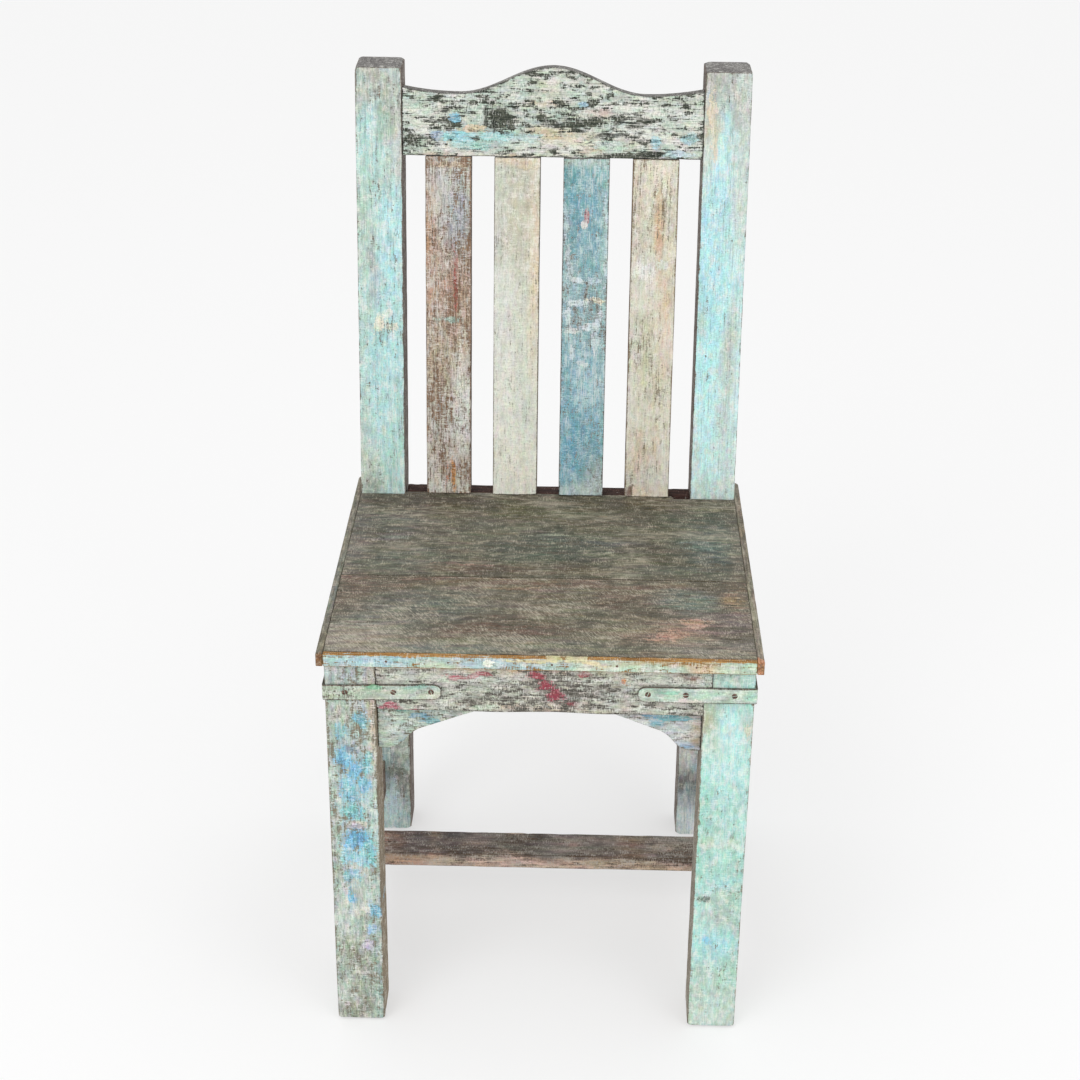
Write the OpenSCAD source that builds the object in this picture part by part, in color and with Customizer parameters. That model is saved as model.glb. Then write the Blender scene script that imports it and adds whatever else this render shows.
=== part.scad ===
// Weathered wooden side chair with a slatted back, in millimetres.
// Origin: on the floor, under the centre of the chair. +X is the chair's left-to-right width as
// seen from the front, +Y points to its back, +Z up.

/* [Overall size] */
// Floor to the top of the back posts
chair_height = 919; // [765:1:1105]
// Floor to the top of the seat
seat_height = 450; // [375:1:540]
// Width over the seat's side edgings
seat_width = 436; // [360:1:524]
// Front of the seat to the face of the back posts, at the seat's underside
seat_depth = 373; // [310:1:450]

/* [Legs and posts] */
// Side of the square leg and post section
leg_size = 50; // [41:0.5:60]
// Backward lean of the posts above the seat, degrees
back_rake = 7.2; // [4:0.1:12]
// How far forward the back feet stand from the post at the seat
foot_kick = 10; // [0:1:20]

/* [Seat] */
// Thickness of the seat boards and of the edging height
seat_t = 14; // [12:0.5:22]
// Thickness of the edging strips
edging_t = 7; // [5:0.5:10]
// Depth of the front seat board
front_board_d = 163; // [120:1:200]
// Open joint between the two seat boards, and behind the rear one
board_gap = 1; // [0.5:0.1:2]
// How far the seat runs back between the posts, past their faces
seat_tongue = 7; // [3:0.5:12]
// Length of the side edgings past the faces of the posts
ear_len = 47; // [25:1:50]
// Width of the oversize notch beside the right post
notch_w = 21; // [5:1:24]

/* [Aprons and rear rail] */
// Height of the aprons
apron_h = 52; // [40:1:64]
// Thickness of the front apron
front_apron_t = 25; // [20:0.5:30]
// Thickness of the side aprons and side stretchers
side_t = 20; // [16:0.5:24]
// Thickness of the rear seat rail
rear_rail_t = 20; // [17:0.5:24]
// Face of the posts to the face of the rear rail
rear_rail_inset = 8; // [6:0.5:12]
// Open joint at the left end of the rear rail
rear_rail_gap = 1.5; // [0.3:0.1:2]
// Lap of the front apron over the right leg
apron_lap = 8; // [4:0.5:12]
// Radius at the lower left corner of the front apron
apron_corner_r = 7; // [3:0.5:10]

/* [Corner brackets] */
// Reach of the left bracket along the apron
left_reach = 96; // [80:1:110]
// Drop of the left bracket down the leg
left_drop = 50; // [42:1:60]
// Reach of the right bracket along the apron
right_reach = 86; // [75:1:110]
// Drop of the right bracket down the leg
right_drop = 46; // [42:1:60]
// Thickness of the brackets
bracket_t = 15; // [12:0.5:18]

/* [Back] */
// Number of slats
slat_count = 4; // [3:1:5]
// Width of one slat
slat_w = 50; // [40:1:56]
// Thickness of the slats
slat_t = 20; // [18:0.5:24]
// Thickness of the crest rail
crest_t = 25; // [22:0.5:30]
// Height of the crest rail at its two dips
crest_h = 66; // [55:1:80]
// Rise of the central hump over the dips
hump_rise = 29; // [15:1:40]
// Rise of the crest rail's ends over the dips
end_rise = 6; // [0:0.5:12]
// Centre line to each dip
dip_x = 100; // [80:1:115]

/* [Stretchers] */
// Height of the side stretchers' lower edge
stretcher_z = 55; // [40:1:90]
// Height of the side stretchers
stretcher_h = 45; // [36:1:54]
// Depth of the flat cross stretcher
cross_d = 45; // [36:1:60]
// Thickness of the cross stretcher
cross_t = 18; // [15:0.5:24]

/* [Iron straps] */
// Height of a strap
strap_h = 17; // [14:0.5:20]
// Thickness of a strap
strap_t = 2.5; // [2:0.1:3.5]
// Length of a strap's front arm from the corner of the leg
strap_len = 115; // [100:1:130]
// Length of a strap's side arm
strap_side = 40; // [25:1:45]
// Seat underside to the middle of the left strap, at the corner
left_strap_drop = 32; // [28:0.5:36]
// Seat underside to the middle of the right strap
right_strap_drop = 27; // [22:0.5:36]
// Upward tilt of the left strap, degrees
left_strap_tilt = 1.5; // [0:0.1:3]

/* [Fits] */
// Clearance on each side of a tenon
fit_gap = 0.25; // [0.1:0.05:0.3]

/* [Hidden] */
$fn = 64;

knee_z = seat_height - seat_t;
back_run = (chair_height - knee_z) * tan(back_rake);
front_y = -(seat_depth + back_run + leg_size) / 2;
knee_y = front_y + seat_depth;
leg_y = front_y + edging_t;
frame_x = seat_width / 2 - edging_t;
inner_x = frame_x - leg_size;
apron_z = knee_z - apron_h;
tenon_l = leg_size * 0.36;
tenon_t = 8;
shoulder = 7;
shy = 0.05;
past = 1;
tongue_y = knee_y + seat_tongue;
rail_y = knee_y + rear_rail_inset;
seat_s = seat_t / cos(back_rake);
crest_s = (chair_height - knee_z) / cos(back_rake) - crest_h - hump_rise + 2;
slat_gap = (2 * inner_x - slat_count * slat_w) / (slat_count + 1);
slat_tenon = 14;
slat_cheek = 11;
cross_y = (leg_y + leg_size + knee_y) / 2 - cross_d / 2;
cross_z = stretcher_z + (stretcher_h - cross_t) / 2;
screw_at = [leg_size * 0.4, strap_len * 0.59, strap_len - strap_h * 0.6];
spare_hole_x = 5;
screw_head_r = 3.5;
screw_head_l = 2;
screw_r = 1.6;
screw_l = 20;
hole_gap = 0.1;
nail_x = [-187, -149, -89, 12, 75, 152, 191] * (seat_width / 436);
nail_head_r = 1.7;
nail_head_t = 0.8;
nail_r = 0.9;
nail_l = 25;

// Face of the back posts at height z.
function post_face(z) = z < knee_z
  ? knee_y - foot_kick * (1 - z / knee_z)
  : knee_y + (z - knee_z) * tan(back_rake);

// Top line of the crest rail over its lower edge, across the width.
function crest_top(x) = abs(x) < dip_x
  ? crest_h + hump_rise * (1 + cos(180 * x / dip_x)) / 2
  : crest_h + end_rise * pow((abs(x) - dip_x) / (inner_x - dip_x), 2);

module left_of() {
  mirror([1, 0, 0]) children();
}

// Frame of the raked back: z runs up the posts, y = 0 is their face.
module back_plane() {
  translate([0, knee_y, knee_z]) rotate([-back_rake, 0, 0]) children();
}

// A side outline in y and z, given width w from x.
module side_plate(x, w, points) {
  translate([x, 0, 0]) rotate([90, 0, 90]) linear_extrude(w) polygon(points);
}

// A front outline in x and z, given thickness t back from y.
module front_plate(y, t) {
  translate([0, y + t, 0]) rotate([90, 0, 0]) linear_extrude(t) children();
}

// ---- tenons, each with the clearance g of its mortise ----

module front_apron_tenon(g) {
  translate([inner_x - past, leg_y + (front_apron_t - tenon_t) / 2 + 1 - g, apron_z + shoulder - g])
    cube([tenon_l + past + g * 3, tenon_t + 2 * g, apron_h - 4 * shoulder + 2 * g]);
}

module side_tenons(z, h, g) {
  side_plate(frame_x - (side_t + tenon_t) / 2 - g, tenon_t + 2 * g, [
    [leg_y + leg_size - tenon_l - g * 3, z + shoulder - g],
    [post_face(z + shoulder) + tenon_l + g * 3, z + shoulder - g],
    [post_face(z + h - shoulder) + tenon_l + g * 3, z + h - shoulder + g],
    [leg_y + leg_size - tenon_l - g * 3, z + h - shoulder + g]]);
}

module rear_rail_tenon(g) {
  translate([inner_x - past - rear_rail_gap, rail_y + (rear_rail_t - tenon_t) / 2 - g,
      apron_z + shoulder - g])
    cube([tenon_l + past + rear_rail_gap + g * 3, tenon_t + 2 * g, apron_h - 2 * shoulder + 2 * g]);
}

module cross_tenon(g) {
  translate([frame_x - side_t - past, cross_y + shoulder - g, cross_z + cross_t / 4 - g])
    cube([side_t * 0.6 + past + g * 3, cross_d - 2 * shoulder + 2 * g, cross_t / 2 + 2 * g]);
}

module crest_tenon(g) {
  back_plane() translate([inner_x - past, (crest_t - tenon_t) / 2 - g, crest_s + shoulder * 2 - g])
    cube([tenon_l + past + g * 3, tenon_t + 2 * g, crest_h - 4 * shoulder + 2 * g]);
}

module slat_top_tenon(x, g) {
  back_plane() translate([x + shoulder - g, (slat_t - tenon_t) / 2 - g, crest_s - past])
    cube([slat_w - 2 * shoulder + 2 * g, tenon_t + 2 * g, slat_tenon + past + g * 3]);
}

module slat_foot_tenon(x, g) {
  intersection() {
    back_plane() translate([x + shoulder - g, slat_cheek - g, -slat_tenon])
      cube([slat_w - 2 * shoulder + 2 * g, slat_t - slat_cheek - 2 + 2 * g, 4 * slat_tenon]);
    translate([x, knee_y, seat_height - slat_tenon - g * 3])
      cube([slat_w, 2 * slat_t, slat_tenon + past + g * 3]);
  }
}

// ---- iron straps and their screws, from the outer corner of a leg ----

module strap_arm(len) {
  translate([0, -strap_h / 2]) square([len - strap_h / 2, strap_h]);
  translate([len - strap_h / 2, 0]) circle(d = strap_h);
}

module strap_bar(tilt) {
  rotate([0, -tilt, 0]) front_plate(-strap_t, strap_t) strap_arm(strap_len);
  translate([-strap_t, 0, 0]) rotate([90, 0, 90]) linear_extrude(strap_t) strap_arm(strap_side);
  translate([0, 0, -strap_h / 2]) intersection() {
    cylinder(r = strap_t, h = strap_h);
    translate([-strap_t, -strap_t, 0]) cube([strap_t, strap_t, strap_h]);
  }
}

module screw(g) {
  rotate([-90, 0, 0]) {
    cylinder(r1 = screw_head_r + g, r2 = screw_r + g, h = screw_head_l);
    cylinder(r = screw_r + g, h = screw_l + g * 3);
  }
}

module screw_row(tilt, g) {
  rotate([0, -tilt, 0]) for (x = screw_at) translate([x, -strap_t, 0]) screw(g);
}

module at_left_corner() {
  translate([-frame_x, leg_y, knee_z - left_strap_drop]) children();
}

module at_right_corner() {
  translate([frame_x, leg_y, knee_z - right_strap_drop]) mirror([1, 0, 0]) children();
}

module left_screws(g) {
  at_left_corner() screw_row(left_strap_tilt, g);
}

module right_screws(g) {
  at_right_corner() screw_row(0, g);
}

module spare_hole() {
  translate([spare_hole_x, -strap_t - past, -strap_h / 4]) rotate([-90, 0, 0])
    cylinder(r = screw_r, h = strap_t + 2 * past);
}

module nail(g) {
  rotate([-90, 0, 0]) {
    cylinder(r = nail_head_r + g, h = nail_head_t);
    cylinder(r = nail_r + g, h = nail_l + g * 3);
  }
}

module nail_row(g) {
  for (x = nail_x) translate([x, front_y, seat_height - seat_t / 2]) nail(g);
}

// ---- the pieces ----

module plain_front_leg() {
  difference() {
    translate([inner_x, leg_y, 0]) cube([leg_size, leg_size, knee_z]);
    front_apron_tenon(fit_gap);
    side_tenons(apron_z, apron_h, fit_gap);
    side_tenons(stretcher_z, stretcher_h, fit_gap);
  }
}

// Room in the right leg for the lapped end of the front apron.
module apron_lap_block() {
  translate([inner_x - past, leg_y - past, knee_z - apron_h / 2])
    cube([apron_lap + past, front_apron_t / 3 + past, apron_h / 2 + past]);
}

module left_front_leg() {
  color("#93b7bf") difference() {
    left_of() plain_front_leg();
    left_screws(hole_gap);
  }
}

module right_front_leg() {
  color("#b4d8cc") difference() {
    plain_front_leg();
    apron_lap_block();
    right_screws(hole_gap);
  }
}

module back_post() {
  difference() {
    side_plate(inner_x, leg_size, [
      [post_face(0), 0],
      [post_face(0) + leg_size, 0],
      [knee_y + leg_size, knee_z],
      [post_face(chair_height) + leg_size, chair_height],
      [post_face(chair_height), chair_height],
      [knee_y, knee_z]]);
    side_tenons(apron_z, apron_h, fit_gap);
    side_tenons(stretcher_z, stretcher_h, fit_gap);
    rear_rail_tenon(fit_gap);
    crest_tenon(fit_gap);
  }
}

module left_back_post() {
  color("#b9d5d0") left_of() back_post();
}

module right_back_post() {
  color("#bde0e2") back_post();
}

module front_apron() {
  r = apron_corner_r;
  color("#b9b8ae") difference() {
    union() {
      front_plate(leg_y, front_apron_t) {
        translate([-inner_x, apron_z + r]) square([2 * inner_x, apron_h - r]);
        translate([-inner_x + r, apron_z]) square([2 * inner_x - r, r]);
        translate([-inner_x + r, apron_z + r]) circle(r);
      }
      intersection() {
        apron_lap_block();
        translate([inner_x - past, leg_y, 0]) cube([apron_lap + past, front_apron_t, knee_z]);
      }
      front_apron_tenon(0);
      left_of() front_apron_tenon(0);
    }
    left_screws(hole_gap);
    right_screws(hole_gap);
  }
}

// A board between a front leg and a back post, flush with their outer faces.
module side_board(z, h) {
  side_plate(frame_x - side_t, side_t, [
    [leg_y + leg_size, z],
    [post_face(z) - shy, z],
    [post_face(z + h) - shy, z + h],
    [leg_y + leg_size, z + h]]);
  side_tenons(z, h, 0);
}

module left_side_apron() {
  color("#a9aea0") left_of() side_board(apron_z, apron_h);
}

module right_side_apron() {
  color("#a9aea0") side_board(apron_z, apron_h);
}

module rear_seat_rail() {
  color("#4a302b") difference() {
    union() {
      translate([-inner_x + rear_rail_gap, rail_y, apron_z])
        cube([2 * inner_x - rear_rail_gap, rear_rail_t, seat_height - apron_z]);
      rear_rail_tenon(0);
      left_of() rear_rail_tenon(0);
    }
    for (i = [0 : slat_count - 1]) slat_foot_tenon(slat_x(i), fit_gap);
  }
}

module seat_front_board() {
  color("#6b6a5c") difference() {
    translate([-frame_x, leg_y, knee_z]) cube([2 * frame_x, front_board_d, seat_t]);
    nail_row(hole_gap);
  }
}

module seat_rear_board() {
  y = leg_y + front_board_d + board_gap;
  color("#6e685a") difference() {
    translate([-frame_x, y, knee_z]) cube([2 * frame_x, tongue_y - y, seat_t]);
    for (side = [0, 1]) mirror([side, 0, 0])
      translate([inner_x - fit_gap, knee_y - fit_gap, knee_z - past])
        cube([leg_size + past + fit_gap, leg_size, seat_t + 2 * past]);
    translate([inner_x - notch_w, knee_y - board_gap, knee_z - past])
      cube([notch_w + past, leg_size, seat_t + 2 * past]);
  }
}

module front_edging() {
  color("#a9c3c4") difference() {
    translate([-frame_x, front_y, knee_z]) cube([2 * frame_x, edging_t, seat_t]);
    nail_row(hole_gap);
  }
}

module side_edging() {
  end_y = knee_y + ear_len;
  r = edging_t / 2;
  translate([0, 0, knee_z]) linear_extrude(seat_t) {
    translate([frame_x, front_y]) square([r, end_y - front_y - edging_t]);
    translate([frame_x, front_y + r]) square([edging_t, end_y - front_y - edging_t - r]);
    translate([frame_x + r, front_y + r]) circle(r);
    intersection() {
      translate([frame_x, end_y - edging_t]) circle(edging_t);
      translate([frame_x, end_y - edging_t]) square(edging_t);
    }
  }
}

module left_edging() {
  color("#7d7a68") left_of() side_edging();
}

module right_edging() {
  color("#7d7a68") side_edging();
}

module crest_rail() {
  end_x = inner_x - shy;
  color("#c5cbc0") difference() {
    union() {
      back_plane() translate([0, crest_t, crest_s]) rotate([90, 0, 0]) linear_extrude(crest_t)
        polygon(concat([[end_x, 0], [-end_x, 0]],
          [for (i = [-24 : 24]) [i * end_x / 24, crest_top(i * end_x / 24)]]));
      crest_tenon(0);
      left_of() crest_tenon(0);
    }
    for (i = [0 : slat_count - 1]) slat_top_tenon(slat_x(i), fit_gap);
  }
}

function slat_x(i) = -inner_x + slat_gap + i * (slat_w + slat_gap);

module slat(i) {
  difference() {
    back_plane() translate([slat_x(i), 0, 0]) cube([slat_w, slat_t, crest_s]);
    translate([-frame_x, knee_y - past, knee_z - slat_t])
      cube([2 * frame_x, leg_size, seat_height - knee_z + slat_t]);
  }
  slat_top_tenon(slat_x(i), 0);
  slat_foot_tenon(slat_x(i), 0);
}

module left_outer_slat() {
  color("#9c8672") slat(0);
}

module left_inner_slat() {
  color("#d5d0bb") slat(1);
}

module right_inner_slat() {
  color("#6f9faf") slat(slat_count - 2);
}

module right_outer_slat() {
  color("#c5bfa5") slat(slat_count - 1);
}

// Curved brace under the apron: a lobe at the leg runs out in an ogee to a narrow toe.
module bracket(reach, drop) {
  toe = 10;
  flat = 8;
  lobe_r = 22;
  sweep_r = 32;
  steep = 50;
  shallow = 16;
  lobe_end = [flat + lobe_r * sin(steep), lobe_r - drop - lobe_r * cos(steep)];
  meet_x = (lobe_end[0] * tan(steep) - reach * tan(shallow) - toe - lobe_end[1])
    / (tan(steep) - tan(shallow));
  meet = [meet_x, lobe_end[1] + (meet_x - lobe_end[0]) * tan(steep)];
  run = sweep_r * tan((steep - shallow) / 2);
  centre = meet - run * [cos(steep), sin(steep)] + sweep_r * [sin(steep), -cos(steep)];
  lobe = [for (i = [0 : 10]) [flat + lobe_r * sin(steep * i / 10),
    lobe_r - drop - lobe_r * cos(steep * i / 10)]];
  sweep = [for (i = [0 : 8]) let (a = steep + (shallow - steep) * i / 8)
    centre + sweep_r * [-sin(a), cos(a)]];
  translate([0, 0, apron_z]) front_plate(leg_y + front_apron_t - bracket_t, bracket_t)
    polygon(concat([[0, 0], [0, -drop]], lobe, sweep, [[reach, -toe], [reach, 0]]));
}

module left_bracket() {
  color("#b4c7bd") translate([-inner_x, 0, 0]) bracket(left_reach, left_drop);
}

module right_bracket() {
  color("#a9bcc0") translate([inner_x, 0, 0]) left_of() bracket(right_reach, right_drop);
}

module left_strap() {
  color("#a9bfa9") difference() {
    at_left_corner() strap_bar(left_strap_tilt);
    at_left_corner() spare_hole();
    left_screws(hole_gap);
  }
}

module right_strap() {
  color("#a9bfa9") difference() {
    at_right_corner() strap_bar(0);
    right_screws(hole_gap);
  }
}

module strap_screws() {
  color("#6a5a50") {
    left_screws(0);
    right_screws(0);
  }
}

module edging_nails() {
  color("#5b5148") nail_row(0);
}

module plain_side_stretcher() {
  difference() {
    side_board(stretcher_z, stretcher_h);
    cross_tenon(fit_gap);
  }
}

module left_side_stretcher() {
  color("#8d8478") left_of() plain_side_stretcher();
}

module right_side_stretcher() {
  color("#8d8478") plain_side_stretcher();
}

module cross_stretcher() {
  x = frame_x - side_t;
  color("#8a7567") {
    translate([-x, cross_y, cross_z]) cube([2 * x, cross_d, cross_t]);
    cross_tenon(0);
    left_of() cross_tenon(0);
  }
}

left_front_leg();
right_front_leg();
left_back_post();
right_back_post();
front_apron();
left_side_apron();
right_side_apron();
rear_seat_rail();
seat_front_board();
seat_rear_board();
front_edging();
left_edging();
right_edging();
crest_rail();
left_outer_slat();
left_inner_slat();
right_inner_slat();
right_outer_slat();
left_bracket();
right_bracket();
left_strap();
right_strap();
strap_screws();
edging_nails();
left_side_stretcher();
right_side_stretcher();
cross_stretcher();
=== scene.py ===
"""Looks of a weathered wooden side chair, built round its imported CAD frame.

Every wooden piece is remade as a worn board: a fine grid of points on the CAD piece's own shape,
with rounded, dented arrises. Paint, undercoat and bare wood are layers of one procedural
material, and each board says where its colours lie, in millimetres of the chair's own frame
(across and up as seen from the front; across and back for the seat).
"""

import math

import bpy
import numpy as np
from mathutils import Matrix, Vector


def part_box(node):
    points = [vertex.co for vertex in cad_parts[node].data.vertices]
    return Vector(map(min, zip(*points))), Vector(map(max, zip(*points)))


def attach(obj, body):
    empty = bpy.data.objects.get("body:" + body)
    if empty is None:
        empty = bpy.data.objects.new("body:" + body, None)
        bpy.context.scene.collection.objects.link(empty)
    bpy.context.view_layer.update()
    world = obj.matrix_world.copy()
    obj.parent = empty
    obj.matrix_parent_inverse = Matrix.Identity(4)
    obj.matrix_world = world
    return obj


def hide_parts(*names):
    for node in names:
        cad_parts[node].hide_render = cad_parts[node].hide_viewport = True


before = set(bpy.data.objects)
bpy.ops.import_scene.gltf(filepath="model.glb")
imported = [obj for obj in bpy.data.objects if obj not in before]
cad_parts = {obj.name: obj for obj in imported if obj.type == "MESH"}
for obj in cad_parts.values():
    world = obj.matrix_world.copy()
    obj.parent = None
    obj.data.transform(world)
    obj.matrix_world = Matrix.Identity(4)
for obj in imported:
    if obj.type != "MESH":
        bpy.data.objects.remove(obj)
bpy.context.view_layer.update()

M = 0.001  # one millimetre, in metres


def mm_box(node):
    low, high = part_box(node)
    return np.array(low) / M, np.array(high) / M


# ---- sizes, in millimetres, from the frame ----

leg_low, leg_high = mm_box("right_front_leg")
post_low, post_high = mm_box("right_back_post")
apron_low, apron_high = mm_box("front_apron")
edging_low, edging_high = mm_box("front_edging")
ear_low, ear_high = mm_box("right_edging")
front_board_low, front_board_high = mm_box("seat_front_board")
rear_board_low, rear_board_high = mm_box("seat_rear_board")
cross_low, cross_high = mm_box("cross_stretcher")
stretcher_low, stretcher_high = mm_box("right_side_stretcher")
bracket_low, bracket_high = mm_box("left_bracket")
bracket_right_low, bracket_right_high = mm_box("right_bracket")

# _T is a thickness, _H a height, _W a width, _R a radius; _X, _Y and _Z are places
INNER = leg_low[0]
OUTER = leg_high[0]
LEG = OUTER - INNER
LEG_Y = leg_low[1]
KNEE_Z = leg_high[2]
SEAT_Z = edging_high[2]
SEAT_T = SEAT_Z - KNEE_Z
POST_TOP = post_high[2]
RAKE = math.radians(7.2)  # backward lean of the posts above the seat
# where the posts start to lean, at the front of their knee
KNEE_Y = post_high[1] - LEG - (POST_TOP - KNEE_Z) * math.tan(RAKE)
APRON_Z = apron_low[2]
APRON_H = apron_high[2] - APRON_Z
APRON_T = 25  # thickness of the front apron
LAP = 8  # how far the front apron laps over the right leg
SIDE_T = 20  # thickness of the side aprons and side stretchers
EDGING_T = 7  # thickness of the strips round the seat
CREST_T = 25
CREST_H = 66  # height of the crest rail at its dips
HUMP = 29  # rise of the hump above the dips
END_RISE = 6  # rise of the rail from the dips to the posts
DIP_X = 100  # middle of the chair to each dip
# from the knee up the posts to the underside of the crest rail, whose hump stands 2 above them
CREST_S = (POST_TOP - KNEE_Z) / math.cos(RAKE) - CREST_H - HUMP + 2
SLAT_W = 50
SLAT_T = 20
SLAT_GAP = (2 * INNER - 4 * SLAT_W) / 5
STRAP_H = 17
STRAP_T = 2.5
STRAP_ARM = 115  # length of a strap along the front
STRAP_SIDE = 40  # and back along the side
# screws along a strap, from the leg's outer corner
SCREW_AT = (0.4 * LEG, 0.59 * STRAP_ARM, STRAP_ARM - 0.6 * STRAP_H)
SCREW_R = 3.5
# nails along the front edging
NAIL_X = (-187, -149, -89, 12, 75, 152, 191)
NAIL_R = 1.7


def post_face(z):
    """Front face of the back posts at height z."""
    kick = KNEE_Y - post_low[1]
    return np.where(z < KNEE_Z, KNEE_Y - kick * (1 - z / KNEE_Z), KNEE_Y + (z - KNEE_Z) * math.tan(RAKE))


def raked(x, depth, s):
    """A point of the back: s up the posts from the knee, depth behind their face."""
    y = KNEE_Y + depth * math.cos(RAKE) + s * math.sin(RAKE)
    z = KNEE_Z + s * math.cos(RAKE) - depth * math.sin(RAKE)
    return np.stack([x, y, z], -1)


# ---- smooth noise for shapes ----

LATTICE = np.random.default_rng(11).random((32, 32, 32)) * 2 - 1


def bumps(points, cell, seed=0.0):
    """Smooth noise from -1 to 1, its bumps about cell apart."""
    q = points / cell + 9.37 * seed + 100
    i = np.floor(q).astype(int)
    f = q - i
    f = f * f * (3 - 2 * f)
    total = 0
    for dx in (0, 1):
        for dy in (0, 1):
            for dz in (0, 1):
                corner = LATTICE[(i[:, 0] + dx) % 32, (i[:, 1] + dy) % 32, (i[:, 2] + dz) % 32]
                wx = f[:, 0] if dx else 1 - f[:, 0]
                wy = f[:, 1] if dy else 1 - f[:, 1]
                wz = f[:, 2] if dz else 1 - f[:, 2]
                total = total + corner * wx * wy * wz
    return total


# ---- colours ----


def linear(code):
    """A colour such as "B9D9D3" as linear red, green and blue."""
    parts = np.array([int(code[i : i + 2], 16) for i in (0, 2, 4)]) / 255
    return np.where(parts <= 0.04045, parts / 12.92, ((parts + 0.055) / 1.055) ** 2.4)


def washed(base, washes, a, b):
    """Base colour with soft patches over it, and how much each adds to the paint's cover."""
    total = np.ones_like(a)
    colour = np.outer(total, linear(base))
    cover = np.zeros_like(a)
    for x, y, rx, ry, code, amount, *more in washes:
        reach = np.exp(-(((a - x) / rx) ** 2) - ((b - y) / ry) ** 2)
        weight = 1.8 * amount * reach
        colour += np.outer(weight, linear(code))
        total += weight
        if more:
            cover += more[0] * reach
    return np.concatenate([colour / total[:, None], cover[:, None]], 1)


def flaked(flakes, a, b):
    """Colour of the nearest sharp flake, and how far inside it a point is: 1 at its middle, 0 at its edge."""
    best = np.full_like(a, -1.5)
    colour = np.full((len(a), 3), 0.5)
    for x, y, rx, ry, code in flakes:
        inside = 1 - np.sqrt(((a - x) / rx) ** 2 + ((b - y) / ry) ** 2)
        colour[inside > best] = linear(code)
        best = np.maximum(best, inside)
    return np.concatenate([colour, best[:, None]], 1)


# ---- meshes ----


def grid_lines(length, step, extra=()):
    """Grid lines from 0 to length: close at both ends for the rounded arrises, step apart between."""
    close = [d for d in (0, 0.5, 1.1, 1.9, 3.0, 4.6) if d < length * 0.42]
    inner = np.linspace(close[-1], length - close[-1], max(2, round((length - 2 * close[-1]) / step) + 1))
    lines = np.concatenate([close, inner, length - np.array(close), list(extra)])
    lines = np.sort(lines)
    return lines[np.concatenate([[True], np.diff(lines) > 0.12])]


def shell(us, vs, ws):
    """Points and quads on the surface of a box grid."""
    index = np.full((len(us), len(vs), len(ws)), -1)
    skin = np.ones(index.shape, bool)
    skin[1:-1, 1:-1, 1:-1] = False
    index[skin] = np.arange(skin.sum())
    points = np.stack(np.meshgrid(us, vs, ws, indexing="ij"), -1)[skin]
    quads = []
    sides = [
        (index[0], True), (index[-1], False),
        (index[:, 0], False), (index[:, -1], True),
        (index[:, :, 0], True), (index[:, :, -1], False),
    ]
    for grid, flip in sides:
        q = np.stack([grid[:-1, :-1], grid[1:, :-1], grid[1:, 1:], grid[:-1, 1:]], -1).reshape(-1, 4)
        quads.append(q[:, ::-1] if flip else q)
    return points, np.concatenate(quads)


def outward(points, quads):
    """The quads, turned if they enclose a negative volume."""
    a, b, c, d = (points[quads[:, k]] for k in range(4))
    volume = (a * np.cross(b, c)).sum() + (a * np.cross(c, d)).sum()
    return quads if volume > 0 else quads[:, ::-1]


def mesh_piece(name, points, quads, attributes):
    """A smooth mesh object from points in millimetres, with its per-point attributes."""
    mesh = bpy.data.meshes.new(name)
    mesh.from_pydata((points * M).tolist(), [], outward(points, quads).tolist())
    mesh.validate()
    mesh.shade_smooth()
    for key, (kind, field, values) in attributes.items():
        made = mesh.attributes.new(key, kind, "POINT")
        made.data.foreach_set(field, np.ascontiguousarray(values, np.float32).ravel())
    piece = bpy.data.objects.new(name, mesh)
    bpy.context.scene.collection.objects.link(piece)
    return piece


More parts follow.
